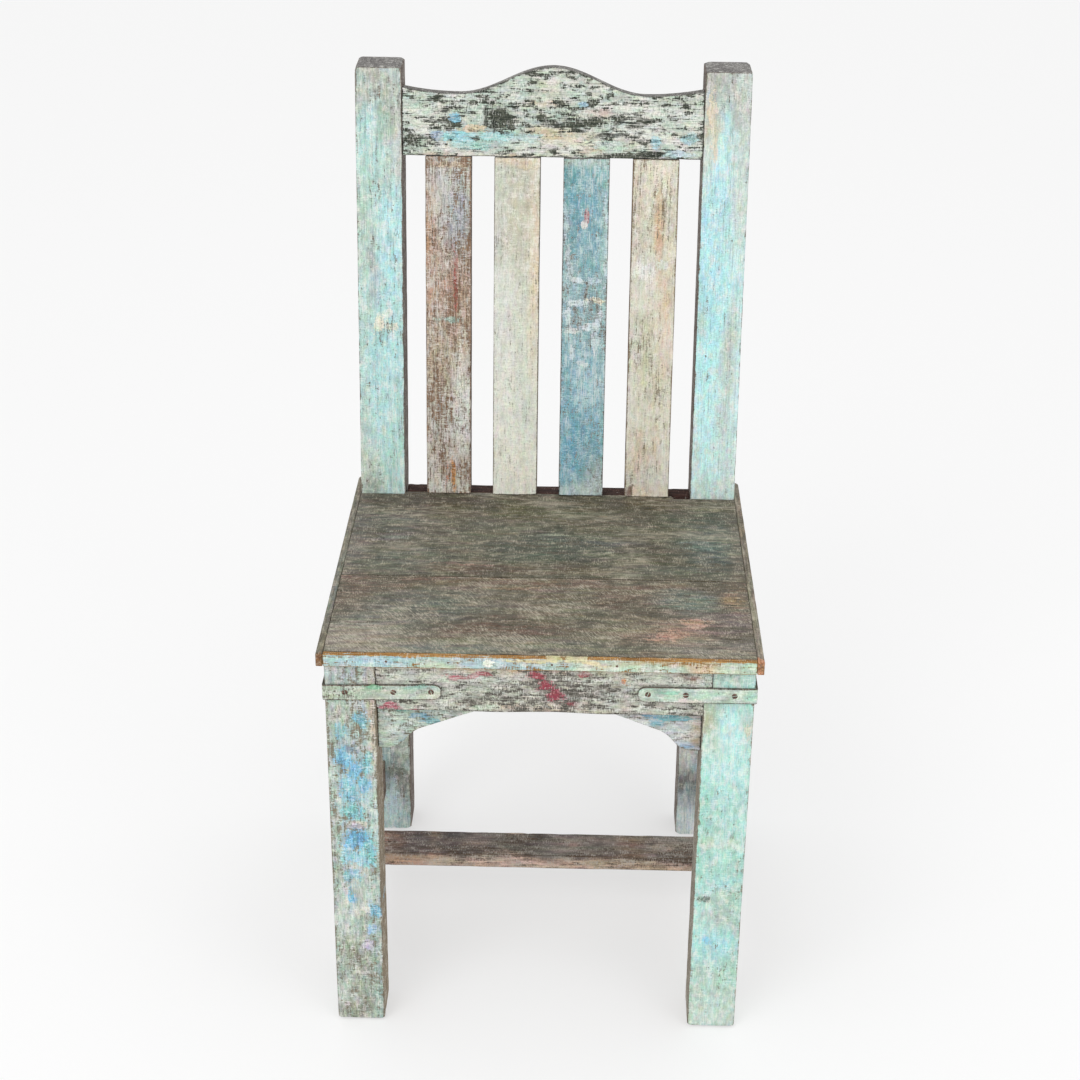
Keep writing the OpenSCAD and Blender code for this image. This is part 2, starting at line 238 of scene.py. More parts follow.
def board(node, size, place, material, seed, base, washes=(), flakes=(), top_view=False, step=3.2,
          radius=1.1, chips=2.2, bare=(0.5, 0.5, 0.5, 1, 1), end_round=(0, 0), extra=((), (), ()),
          shape=None, pits=(), sink=0.25, grain_of=None):
    """A worn board that takes the place of a CAD node, whose own part is hidden.

    size: length, width and depth, where depth runs back from the painted face.
    place: maps arrays along, across and deep to points of the chair.
    base, washes, flakes: the paint's colour, soft patches over it and sharp scraps on it.
    top_view: the patches are placed across and back, instead of across and up.
    step: how far apart the grid lines are. extra: more lines along, across and deep.
    radius, chips, end_round: rounding of the arrises, size of the chips, more rounding at the ends.
    bare: how bare the sides across=0 and across=width, the back and the two ends are; the bare sides take a
    darker colour, partly as painted shade.
    shape: moves the points before they are placed. grain_of: the points that the grain follows.
    pits: along, across, radius and depth of small holes. sink: depth of broad dents.
    """
    size = np.array(size, float)
    lines_u, lines_v, lines_w = (list(e) for e in extra)
    for u, v, r, _ in pits:
        lines_u += [u + k * r for k in (-1.5, -1, -0.5, 0, 0.5, 1, 1.5)]
        lines_v += [v + k * r for k in (-1.5, -1, -0.5, 0, 0.5, 1, 1.5)]
    p, quads = shell(grid_lines(size[0], step, lines_u), grid_lines(size[1], step, lines_v),
                     grid_lines(size[2], step * 1.3, lines_w))
    gaps = np.stack([p[:, 0], size[0] - p[:, 0], p[:, 1], size[1] - p[:, 1], p[:, 2], size[2] - p[:, 2]], 1)
    edge = np.sort(gaps, 1)[:, 1]
    flush = np.clip(1 - gaps / 1.2, 0, 1)
    painted = 1 - 0.6 * flush[:, 4]
    bare_shaded_side = painted * np.clip(flush[:, 2] * bare[0] + flush[:, 3] * bare[1] + flush[:, 5] * bare[2], 0, 1)
    end = painted * np.clip(flush[:, 0] * bare[3] + flush[:, 1] * bare[4], 0, 1)

    r = radius * (1 + 0.5 * bumps(p, 17, seed)) + chips * np.clip(bumps(p, 9, seed + 3) - 0.42, 0, 1) * 2
    r = r + end_round[0] * np.exp(-gaps[:, 0] / 6) + end_round[1] * np.exp(-gaps[:, 1] / 6)
    r = np.minimum(r, size.min() * 0.46)[:, None]
    core = np.clip(p, r, size - r)
    out = p - core
    out = out / np.maximum(np.linalg.norm(out, axis=1, keepdims=True), 1e-9)
    dents = sink * (0.5 + 0.5 * bumps(p, 26, seed + 5))
    dents = dents + 0.12 * (0.5 + 0.5 * bumps(p * (0.3, 1, 1), 5, seed + 7))
    q = core + out * (r - dents[:, None])
    for u, v, pit_r, deep in pits:
        away = np.hypot(p[:, 0] - u, p[:, 1] - v) / pit_r
        q[:, 2] += np.where(gaps[:, 4] < 0.01, deep * np.clip(1.25 - away, 0, 1) ** 0.6, 0)
    if shape:
        q = shape(q)
    points = place(*q.T)
    a, b = points[:, 0], points[:, 1] if top_view else points[:, 2]
    a = a + 3 * bumps(points, 19, seed + 11) + 1.2 * bumps(points, 6, seed + 12)
    b = b + 4 * bumps(points, 23, seed + 13) + 1.5 * bumps(points, 6, seed + 14)
    shift = np.array([0.731, 0.417, 0.593]) * seed
    grain = grain_of(p) if grain_of else p
    piece = mesh_piece(node + "_worn", points, quads, {
        "grain": ("FLOAT_VECTOR", "vector", grain * M + shift),
        "zone": ("FLOAT_VECTOR", "vector", np.stack([edge, bare_shaded_side, end], 1)),
        "tint": ("FLOAT_COLOR", "color", washed(base, washes, a, b)),
        "flake": ("FLOAT_COLOR", "color", flaked(flakes, a, b)),
    })
    return dress(piece, node, material)


def dress(piece, node, material):
    """Gives a piece its material, hangs it under the root body and hides the CAD node that it takes the place
    of.
    """
    piece.data.materials.append(material)
    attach(piece, "root")
    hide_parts(node)
    return piece


# ---- materials ----


class Shader:
    """A material's node tree, with short names for the nodes used here."""

    def __init__(self, name):
        self.material = bpy.data.materials.new(name)
        self.material.use_nodes = True
        self.tree = self.material.node_tree
        self.tree.nodes.clear()

    def node(self, kind, inputs=(), **settings):
        made = self.tree.nodes.new(kind)
        for key, value in settings.items():
            setattr(made, key, value)
        for key, value in dict(inputs).items():
            self.feed(made.inputs[key], value)
        return made

    def feed(self, socket, value):
        if isinstance(value, bpy.types.NodeSocket):
            self.tree.links.new(value, socket)
        else:
            socket.default_value = value

    def math(self, operation, *values):
        return self.node("ShaderNodeMath", enumerate(values), operation=operation).outputs[0]

    def add(self, *values):
        total = values[0]
        for value in values[1:]:
            total = self.math("ADD", total, value)
        return total

    def times(self, a, b):
        return self.math("MULTIPLY", a, b)

    def around(self, noise, amount):
        """Noise moved to swing about zero, times amount."""
        return self.math("MULTIPLY_ADD", noise, amount, -0.5 * amount)

    def smooth(self, value, low, high, to_low=0.0, to_high=1.0):
        made = self.node("ShaderNodeMapRange", {0: value, 1: low, 2: high, 3: to_low, 4: to_high},
                         interpolation_type="SMOOTHSTEP")
        return made.outputs[0]

    def mix(self, amount, a, b, blend="MIX"):
        made = self.node("ShaderNodeMix", data_type="RGBA", blend_type=blend, clamp_factor=True)
        for index, value in ((0, amount), (6, a), (7, b)):
            if isinstance(value, np.ndarray):
                value = (*value, 1.0)
            self.feed(made.inputs[index], value)
        return made.outputs[2]

    def attribute(self, name):
        return self.node("ShaderNodeAttribute", attribute_name=name)

    def noise(self, vector, stretch, detail=3.0, rough=0.55, seed=0.0, twist=0.0, output="Fac"):
        """Noise whose bumps are stretch cells a metre along, across and deep."""
        if np.isscalar(stretch):
            stretch = (stretch,) * 3
        mapped = self.node("ShaderNodeMapping", {0: vector, 1: (seed, seed * 1.7, seed * 0.6), 3: stretch})
        if twist:
            turned = self.node("ShaderNodeMapping", {0: vector, 2: (0, 0, twist)}).outputs[0]
            self.feed(mapped.inputs[0], turned)
        made = self.node("ShaderNodeTexNoise", {"Vector": mapped.outputs[0], "Scale": 1.0, "Detail": detail,
                                                "Roughness": rough})
        return made.outputs[output]

    def vector(self, operation, *values):
        return self.node("ShaderNodeVectorMath", enumerate(values), operation=operation).outputs[0]

    def scale(self, colour, factor):
        return self.node("ShaderNodeVectorMath", {0: colour, "Scale": factor}, operation="SCALE").outputs[0]

    def cells(self, vector, stretch, wobble, feature="F1"):
        """Voronoi cells with ragged borders: a random number for each, or the distance to the border."""
        mapped = self.node("ShaderNodeMapping", {0: vector, 3: stretch}).outputs[0]
        bent = self.vector("ADD", mapped, wobble)
        made = self.node("ShaderNodeTexVoronoi", {"Vector": bent, "Scale": 1.0}, feature=feature)
        return made.outputs["Color" if feature == "F1" else "Distance"]


# the side colour is bare wood darkened partly as painted shade; the dark rim round paint chips is painted
# shadow; the darkening along the arrises is partly dirt and partly painted shade
PAINT = dict(
    wood=("6A5F52", "93867A"), side="4A3D36", end="7C7977", under="D9D8CC", halo=0.035, cover=0.12,
    chip=1.0, chip_size=(120, 260), fibre=0.4, hair=0.35, weave=0.5, soft=0.015, block=0.12,
    block_size=(150, 260), wear=0.16, wear_mm=2.6, side_bare=0.45, end_bare=0.6, vary=0.5, streak=0.6,
    micro=1.0, hue=0.55, tone="FFFFFF", tone_amount=0.25, second="E2E0D6", second_amount=0.4, cluster=0.7,
    rub=0.4, flake_bias=0.01, hue_size=(90, 170), outline=0.45, crackle=0.0, crackle_size=260, checks=0.3,
    check_colour="3A352E", brush=0.4, brush_colour="E9E9E2", brush_twist=0.0, brush_size=(70, 850),
    cross_brush=0.35, dirt=0.3, dirt_colour="857D6D", rough=(0.86, 0.62), relief=0.5)


def paint_material(name, **changes):
    """Weathered wood under an undercoat and a topcoat, both worn off in ragged chips along the grain."""
    look = PAINT | changes
    s = Shader(name)
    grain = s.attribute("grain").outputs["Vector"]
    zone = s.node("ShaderNodeSeparateXYZ", {0: s.attribute("zone").outputs["Vector"]})
    edge, bare_shaded_side, end = zone.outputs
    tint, flake = s.attribute("tint"), s.attribute("flake")

    fibre = s.noise(grain, (34, 620, 620), 3, 0.55, 1.0)
    hair = s.noise(grain, (190, 1900, 1900), 2, 0.6, 2.0)
    weave = s.noise(grain, (1100, 170, 170), 2, 0.6, 13.0)
    along, across = look["chip_size"]
    chip = s.noise(grain, (along, across, across), 6, 0.66, 3.0)
    cloud = s.noise(grain, (13, 24, 24), 3, 0.5, 4.0)
    mottle = s.noise(grain, (70, 130, 130), 4, 0.6, 5.0)
    fine = s.noise(grain, (520, 800, 800), 3, 0.65, 6.0)
    along, across = look["hue_size"]
    hues = s.noise(grain, (along, across, across), 4, 0.65, 12.0, output="Color")
    along, across = look["block_size"]
    block = s.cells(grain, (along, across, across), s.vector("SUBTRACT", hues, (0.5, 0.5, 0.5)))

    # how far the topcoat is from wearing through; below zero it is gone
    worn_edge = s.times(s.smooth(edge, 0.0, look["wear_mm"], 1.0, 0.0), look["wear"])
    field = s.add(
        s.around(chip, look["chip"]), s.around(fibre, look["fibre"]), s.around(hair, look["hair"]),
        s.around(weave, look["weave"]), s.around(block, look["block"]), s.around(fine, 0.25),
        s.around(cloud, look["cluster"]),
        tint.outputs["Alpha"], look["cover"],
        s.times(worn_edge, -1.0), s.times(bare_shaded_side, -look["side_bare"]), s.times(end, -look["end_bare"]),
    )
    paint_on = s.smooth(field, -look["soft"], look["soft"])
    under_on = s.smooth(s.add(field, look["halo"]), -look["soft"] * 1.5, look["soft"] * 1.5)
    flake_field = s.add(s.times(flake.outputs["Alpha"], 0.3), s.around(chip, 0.7), s.around(mottle, 0.8),
                        s.around(weave, 0.4), s.around(hair, 0.35), s.around(fine, 0.5), look["flake_bias"])
    flake_on = s.times(s.smooth(flake_field, -0.02, 0.03), 0.88)

    # wood
    lines = s.add(s.around(fibre, 1.6), s.around(hair, 1.1), s.around(mottle, 0.6), s.around(weave, 0.6))
    dark, light = (linear(c) for c in look["wood"])
    wood = s.mix(s.smooth(lines, -0.2, 0.2), dark, light)
    # the bare side faces take a darker wood colour, partly the wood's own and partly painted shade on these
    # narrow faces
    side = s.mix(s.smooth(lines, -0.25, 0.25), linear(look["side"]) * 0.6, linear(look["side"]) * 1.35)
    wood = s.mix(bare_shaded_side, wood, side)
    rings = s.noise(grain, (30, 420, 420), 3, 0.6, 8.0)
    cut = s.mix(s.smooth(s.add(rings, s.around(fine, 0.7)), 0.38, 0.62),
                linear(look["end"]) * 0.55, linear(look["end"]) * 1.25)
    wood = s.mix(end, wood, cut)

    # coats: broad patches, patches of a finger's width, and fine marks along and across the grain
    micro = look["micro"]
    shade = s.add(1.0, s.around(cloud, look["vary"]), s.around(fibre, look["streak"]),
                  s.around(mottle, look["vary"]), s.around(fine, 0.9 * micro),
                  s.around(hair, 0.8 * micro), s.around(weave, 0.9 * micro))
    drift = s.vector("MULTIPLY_ADD", hues, (look["hue"],) * 3, (1 - look["hue"] / 2,) * 3)
    coat = s.mix(s.times(s.smooth(s.add(cloud, s.around(mottle, 0.5)), 0.46, 0.62), look["tone_amount"]),
                 tint.outputs["Color"], linear(look["tone"]))
    patch = s.smooth(s.add(s.noise(grain, (80, 110, 110), 4, 0.65, 14.0), s.around(block, 0.15)), 0.5, 0.62)
    coat = s.mix(s.times(patch, look["second_amount"]), coat, linear(look["second"]))
    coat = s.scale(s.vector("MULTIPLY", coat, drift), shade)
    scrap = s.scale(s.vector("MULTIPLY", flake.outputs["Color"], drift), shade)
    under = s.mix(s.smooth(fine, 0.35, 0.65), linear(look["under"]) * 0.8, linear(look["under"]) * 1.05)
    colour = s.mix(under_on, wood, under)
    colour = s.mix(paint_on, colour, coat)
    colour = s.mix(flake_on, colour, scrap)

    # painted shadow where a coat ends, checks in the wood, crackle
    # the thin dark line round each chip of paint is painted shadow
    painted_chip_shadow = s.times(s.smooth(field, -0.05, -0.005), s.smooth(field, 0.0, 0.03, 1.0, 0.0))
    colour = s.mix(s.times(painted_chip_shadow, look["outline"]), colour, dark * 0.45)
    splits = s.noise(grain, (30, 700, 700), 2, 0.5, 9.0)
    check = s.smooth(s.add(splits, s.around(mottle, 0.5), s.around(weave, 0.35)), 0.655, 0.7)
    check = s.times(check, look["checks"])
    colour = s.mix(check, colour, linear(look["check_colour"]))
    height = s.add(s.times(paint_on, 0.35), s.times(under_on, 0.2), s.times(flake_on, 0.25),
                   s.around(fibre, 0.9), s.around(hair, 0.35), s.around(weave, 0.4),
                   s.around(fine, 0.25), s.times(check, -0.9))
    if look["crackle"]:
        size = look["crackle_size"]
        cracks = s.cells(grain, (size * 0.7, size, size), hues, "DISTANCE_TO_EDGE")
        where = s.times(s.smooth(cloud, 0.4, 0.6), look["crackle"])
        crack = s.times(s.smooth(cracks, 0.02, 0.14, 1.0, 0.0), where)
        colour = s.mix(crack, colour, dark * 0.8)
        height = s.add(height, s.times(crack, -0.5))

    # dry scratches of pale paint along and across, then dirt, and darkening along the arrises that is partly
    # dirt and partly painted shade
    along, across = look["brush_size"]
    scratch = s.noise(grain, (along, across, across), 3, 0.6, 10.0, look["brush_twist"])
    scratch = s.smooth(s.add(scratch, s.around(cloud, 0.7), s.around(chip, 0.4)), 0.56, 0.7)
    colour = s.mix(s.times(scratch, look["brush"]), colour, linear(look["brush_colour"]))
    ticks = s.smooth(s.add(weave, s.around(mottle, 0.8), s.around(fine, 0.5)), 0.57, 0.7)
    colour = s.mix(s.times(ticks, look["cross_brush"]), colour, linear(look["brush_colour"]))
    stains = s.noise(grain, (45, 90, 90), 5, 0.65, 11.0)
    grime = s.smooth(s.add(stains, s.around(cloud, 0.4), s.around(weave, 0.3)), 0.5, 0.7)
    # darker near the arrises: partly dirt, partly painted shade, strongest on the straps, where it stands for
    # the shadow of the gap round them
    rub = s.smooth(edge, 0.0, 1.6, look["rub"], 0.0)
    colour = s.mix(s.times(s.add(grime, rub), look["dirt"]), colour, linear(look["dirt_colour"]), "MULTIPLY")

    high, low = look["rough"]
    rough = s.add(s.smooth(paint_on, 0.0, 1.0, high, low), s.around(mottle, 0.25), s.around(fine, 0.15))
    bump = s.node("ShaderNodeBump", {"Height": height, "Distance": look["relief"] * M, "Strength": 1.0})
    skin = s.node("ShaderNodeBsdfPrincipled", {"Base Color": colour, "Roughness": rough,
                                               "Normal": bump.outputs[0], "Specular IOR Level": 0.3})
    s.node("ShaderNodeOutputMaterial", {"Surface": skin.outputs[0]})
    return s.material


def head_material():
    """Rusted heads of screws and nails, with a little bright steel where they are rubbed."""
    s = Shader("rusty_heads")
    grain = s.attribute("grain").outputs["Vector"]
    coarse = s.noise(grain, 500, 4, 0.6, 1.0)
    fine = s.noise(grain, 1600, 3, 0.65, 2.0)
    rust = s.mix(s.smooth(s.add(coarse, s.around(fine, 0.5)), 0.4, 0.6), linear("3A2A24"), linear("7C5A4A"))
    bare = s.smooth(s.add(fine, s.around(coarse, 0.6)), 0.56, 0.66)
    colour = s.mix(bare, rust, linear("8A8880"))
    height = s.add(coarse, s.around(fine, 0.6))
    bump = s.node("ShaderNodeBump", {"Height": height, "Distance": 0.25 * M, "Strength": 0.8})
    skin = s.node("ShaderNodeBsdfPrincipled", {
        "Base Color": colour, "Roughness": s.smooth(bare, 0.0, 1.0, 0.85, 0.5),
        "Metallic": s.times(bare, 0.6), "Normal": bump.outputs[0]})
    s.node("ShaderNodeOutputMaterial", {"Surface": skin.outputs[0]})
    return s.material


# ---- the pieces ----


def upright(x, y):
    """Places a board on end, its front left corner at x and y."""
    return lambda u, v, w: np.stack([x + v, y + w, u], -1)


def make_front_legs():
    def scribed(q):
        """An old scribed line down the left of the front face."""
        line = np.exp(-(((q[:, 1] - 6.5) / 0.8) ** 2)) * np.clip((q[:, 0] - 95) / 15, 0, 1) * (q[:, 2] < 0.4)
        q[:, 2] += 0.8 * line
        return q

    sky = paint_material(
        "sky_paint", wood=("77705F", "A39A87"), side="857660", under="C6CFC4", cover=0.1, chip=1.0,
        chip_size=(110, 210), tone="C9D6CF", tone_amount=0.3, second="D6D2CC", second_amount=0.45, hue=0.8,
        checks=0.35, dirt=0.3, brush=0.45, cross_brush=0.5)
    board("left_front_leg", (KNEE_Z, LEG, LEG), upright(-OUTER, LEG_Y), sky, 1, "A3B4A9", [
        (-188, 425, 25, 14, "ACB5B5", 1.5, 0.06), (-196, 375, 9, 12, "A5A88E", 1.2),
        (-163, 372, 5, 45, "C9B499", 3), (-163, 300, 4, 60, "B4BFB1", 1.5),
        (-206, 300, 5, 200, "A7B6AA", 2), (-186, 330, 10, 8, "869595", 1.5),
        (-186, 280, 22, 60, "A1C4C5", 1.6), (-186, 190, 12, 12, "BBB3A8", 1.2),
        (-184, 140, 18, 30, "96A69D", 1.8, 0.02), (-197, 95, 10, 14, "888B6E", 2, -0.03),
        (-180, 70, 20, 30, "A1A497", 1.6, 0.06), (-165, 60, 5, 90, "8CAFA5", 2),
        (-186, 15, 30, 16, "858470", 1.5),
    ], [
        (-177, 372, 7, 9, "80B9CC"), (-197, 358, 6, 8, "84B9C7"), (-194, 326, 9, 13, "76B9D2"),
        (-184, 312, 8, 10, "6FB4D6"), (-189, 288, 12, 15, "7EBDCE"), (-176, 296, 6, 10, "73B5D4"),
        (-171, 322, 5, 14, "86C6CC"), (-188, 262, 11, 10, "80C2C8"), (-186, 228, 11, 13, "6FB5D8"),
        (-184, 206, 14, 8, "88C2D0"), (-171, 215, 5, 18, "80C6CA"), (-188, 184, 8, 9, "82B7C3"),
        (-190, 158, 4, 9, "63AACE"), (-169, 142, 6, 9, "76B4D0"), (-171, 116, 5, 7, "8AAECC"),
        (-183, 250, 8, 3, "C9BBAE"), (-177, 300, 4, 3, "DAD8CE"), (-186, 244, 9, 4, "BFBDC8"),
        (-188, 336, 7, 4, "7D8E97"), (-175, 100, 6, 5, "BDBBCA"), (-178, 142, 5, 4, "D9D6C7"),
    ], end_round=(3.5, 0), bare=(0.15, 0.95, 0.5, 1, 1), shape=scribed,
          extra=((), (5.8, 6.2, 6.5, 6.8, 7.2), ()))

    mint = paint_material(
        "mint_paint", wood=("7A7361", "A79F8C"), side="837A6C", under="D5DDD2", cover=0.18, chip=0.9,
        chip_size=(90, 170), tone="A8DFDD", tone_amount=0.4, micro=0.65, vary=0.35, streak=0.35,
        checks=0.12, cluster=0.3, weave=0.3, brush=0.4, cross_brush=0.4, dirt=0.2)

    def lap(q):
        """A shallow recess at the top takes the end of the front apron."""
        recess = (q[:, 1] < LAP + 0.3) & (q[:, 0] > KNEE_Z - APRON_H / 2 - 0.3)
        q[:, 2] = np.where(recess, np.maximum(q[:, 2], APRON_T / 3 + 0.3), q[:, 2])
        return q

    lap_lines = ([KNEE_Z - APRON_H / 2 + d for d in (-0.6, 0)], [LAP + d for d in (0.15, 0.6)], [8, 9])
    board("right_front_leg", (KNEE_Z, LEG, LEG), upright(INNER, LEG_Y), mint, 2, "A2CBBE", [
        (185, 432, 30, 8, "A3B5A9", 1.5), (167, 372, 7, 26, "ADA380", 3), (176, 350, 5, 20, "B2AF91", 1.5),
        (206, 372, 5, 12, "BBBCA6", 3), (190, 365, 12, 16, "ACDADE", 1.6),
        (186, 320, 18, 30, "AAD7D4", 1.2), (166, 250, 5, 120, "99D1BF", 1.5),
        (184, 170, 22, 16, "AEC8B9", 1.2), (190, 185, 15, 8, "A0DCDC", 1.6),
        (182, 140, 20, 12, "B3BFB5", 1.4), (184, 108, 14, 14, "9DD5DE", 1.8),
        (200, 66, 10, 12, "9FD0BD", 1.6), (186, 55, 22, 20, "B6C2B3", 1.6),
        (188, 15, 26, 16, "BFBBA8", 2.2), (185, 235, 20, 5, "BBC4B2", 1.5),
    ], [
        (207, 368, 4, 9, "C8C4AE"), (173, 168, 8, 3.5, "5C6B5F"), (178, 112, 3.5, 5, "8ECFE8"),
    ], end_round=(3.5, 0), bare=(0.95, 0.15, 0.5, 1, 1), extra=lap_lines, shape=lap,
          pits=[(135, 44, 1.6, 1.5), (140, 45, 1.4, 1.2), (145, 46, 1.2, 0.9)])


def make_posts():
    aqua = dict(
        wood=("6F675B", "9A9081"), cluster=0.25, under="D3D9D2", chip=0.85, chip_size=(90, 210), fibre=0.5,
        weave=0.3, tone="ACDCE2", tone_amount=0.3, micro=0.8, vary=0.4, checks=0.3, dirt=0.22, brush=0.45,
        cross_brush=0.35, side="64574F")
    left = paint_material("aqua_paint_left", cover=0.17, **aqua)
    right = paint_material("aqua_paint_right", cover=0.22, **aqua)

    def place(x):
        return lambda u, v, w: np.stack([x + v, post_face(u) + w, u], -1)

    board("left_back_post", (POST_TOP, LEG, LEG), place(-OUTER), left, 3, "B7D3CB", [
        (-186, 905, 60, 26, "A4A398", 5, -0.05), (-186, 440, 60, 60, "BDD6CE", 1),
        (-200, 899, 8, 5, "BDA684", 1.6), (-199, 866, 9, 20, "9FD3D3", 2.2),
        (-178, 860, 7, 26, "8BA491", 2.6), (-167, 850, 7, 42, "C4BCB2", 2),
        (-196, 812, 8, 34, "A9CFC6", 1.8), (-174, 812, 7, 16, "CBCBB8", 1.4),
        (-178, 800, 5, 14, "95AA9A", 1.2), (-173, 745, 11, 66, "ABDCE2", 2.6),
        (-204, 730, 9, 90, "AFC8B9", 2.2), (-194, 738, 4, 12, "9A9AA2", 1.2),
        (-193, 694, 5, 18, "8F8692", 2.8), (-195, 722, 4, 8, "9A95A0", 1.5),
        (-186, 590, 22, 70, "A9DCDF", 1.5), (-205, 560, 6, 60, "B5C8BF", 1.5),
        (-172, 480, 16, 36, "A5D8CA", 1.8), (-202, 478, 12, 26, "C3C2AC", 2),
        (-196, 456, 10, 7, "6F6A58", 2), (-186, 280, 60, 120, "7B7468", 3, -0.03),
        # the darker patches from 72 to 104 mm up are painted shadow of the front apron and bracket, falling
        # across the leg
        (-166, 120, 10, 26, "A9AE9C", 3), (-186, 104, 16, 24, "8B9694", 2.5),
        (-180, 88, 6, 22, "5F5A52", 3, -0.02), (-170, 72, 9, 22, "4F4738", 4, -0.06),
        (-184, 40, 14, 26, "BFD3D6", 4, 0.05), (-166, 30, 8, 20, "8F9C98", 3),
        (-180, 6, 30, 8, "8B8E86", 3), (-190, 330, 12, 40, "9CB3B6", 2),
    ], [
        (-188, 642, 5, 10, "E6E5CF"), (-175, 641, 8, 5, "E0E0CC"), (-176, 656, 4, 4, "DCE3DA"),
        (-185, 44, 8, 24, "C3D8DC"),
    ], end_round=(8, 3.5), bare=(0.15, 1, 0.4, 1, 1), chips=2.6)

    board("right_back_post", (POST_TOP, LEG, LEG), place(INNER), right, 4, "BCDCDA", [
        (186, 902, 60, 26, "AAABA2", 5, -0.05), (186, 500, 60, 80, "CFEEED", 2),
        (166, 855, 7, 40, "C6B79D", 3.4, -0.03), (174, 865, 6, 22, "BBAE93", 1.6),
        (179, 863, 4, 6, "CB9A62", 3), (187, 872, 5, 14, "A5DCE6", 2.2), (200, 902, 14, 16, "C3BCAB", 2.4),
        (180, 893, 8, 18, "A5D8D8", 1.2), (203, 830, 8, 60, "C0C3B9", 1.8),
        (205, 790, 4, 34, "C0B297", 1.6), (180, 812, 12, 40, "A9DBDD", 1.6),
        (173, 740, 12, 50, "B1E0EA", 1.5), (175, 680, 14, 70, "ACE2E8", 2.4),
        (177, 570, 12, 80, "B8F2F2", 2.8), (167, 650, 4, 14, "C5BD9F", 1.8),
        (197, 622, 7, 30, "BAB0A2", 1.5), (196, 545, 8, 40, "B5A898", 1.3),
        (205, 480, 14, 30, "C2CBC0", 1.6), (175, 462, 14, 10, "B9C4AE", 1.4),
        (186, 448, 20, 6, "9B7F66", 1.4), (175, 330, 30, 60, "7D7266", 3, -0.05),
        (180, 220, 30, 60, "A39A93", 2.5), (170, 118, 8, 18, "CDBDB0", 4, 0.05),
        (184, 112, 8, 20, "939EA6", 4), (176, 74, 20, 16, "6A5F5C", 4, -0.08),
        (178, 50, 20, 10, "9A848C", 3, -0.05), (178, 20, 16, 14, "B9B6BC", 4, 0.04),
        (170, 4, 12, 8, "80776C", 3),
    ], [
        (172, 862, 3, 30, "D2C8B0"), (177, 845, 2.5, 18, "CFC4AC"), (168, 880, 3, 14, "D0C3A6"),
    ], end_round=(8, 3.5), bare=(1, 0.15, 0.4, 1, 1), chips=2.6,
          pits=[(692, 34, 1.6, 1.6), (648, 36, 1.5, 1.4), (614, 39, 1.5, 1.4), (512, 2.5, 2.2, 1.4)])


def crest_top(x):
    """Height of the crest rail above its underside."""
    hump = CREST_H + HUMP * (1 + np.cos(np.pi * x / DIP_X)) / 2
    ends = CREST_H + END_RISE * ((np.abs(x) - DIP_X) / (INNER - DIP_X)) ** 2
    return np.where(np.abs(x) < DIP_X, hump, ends)


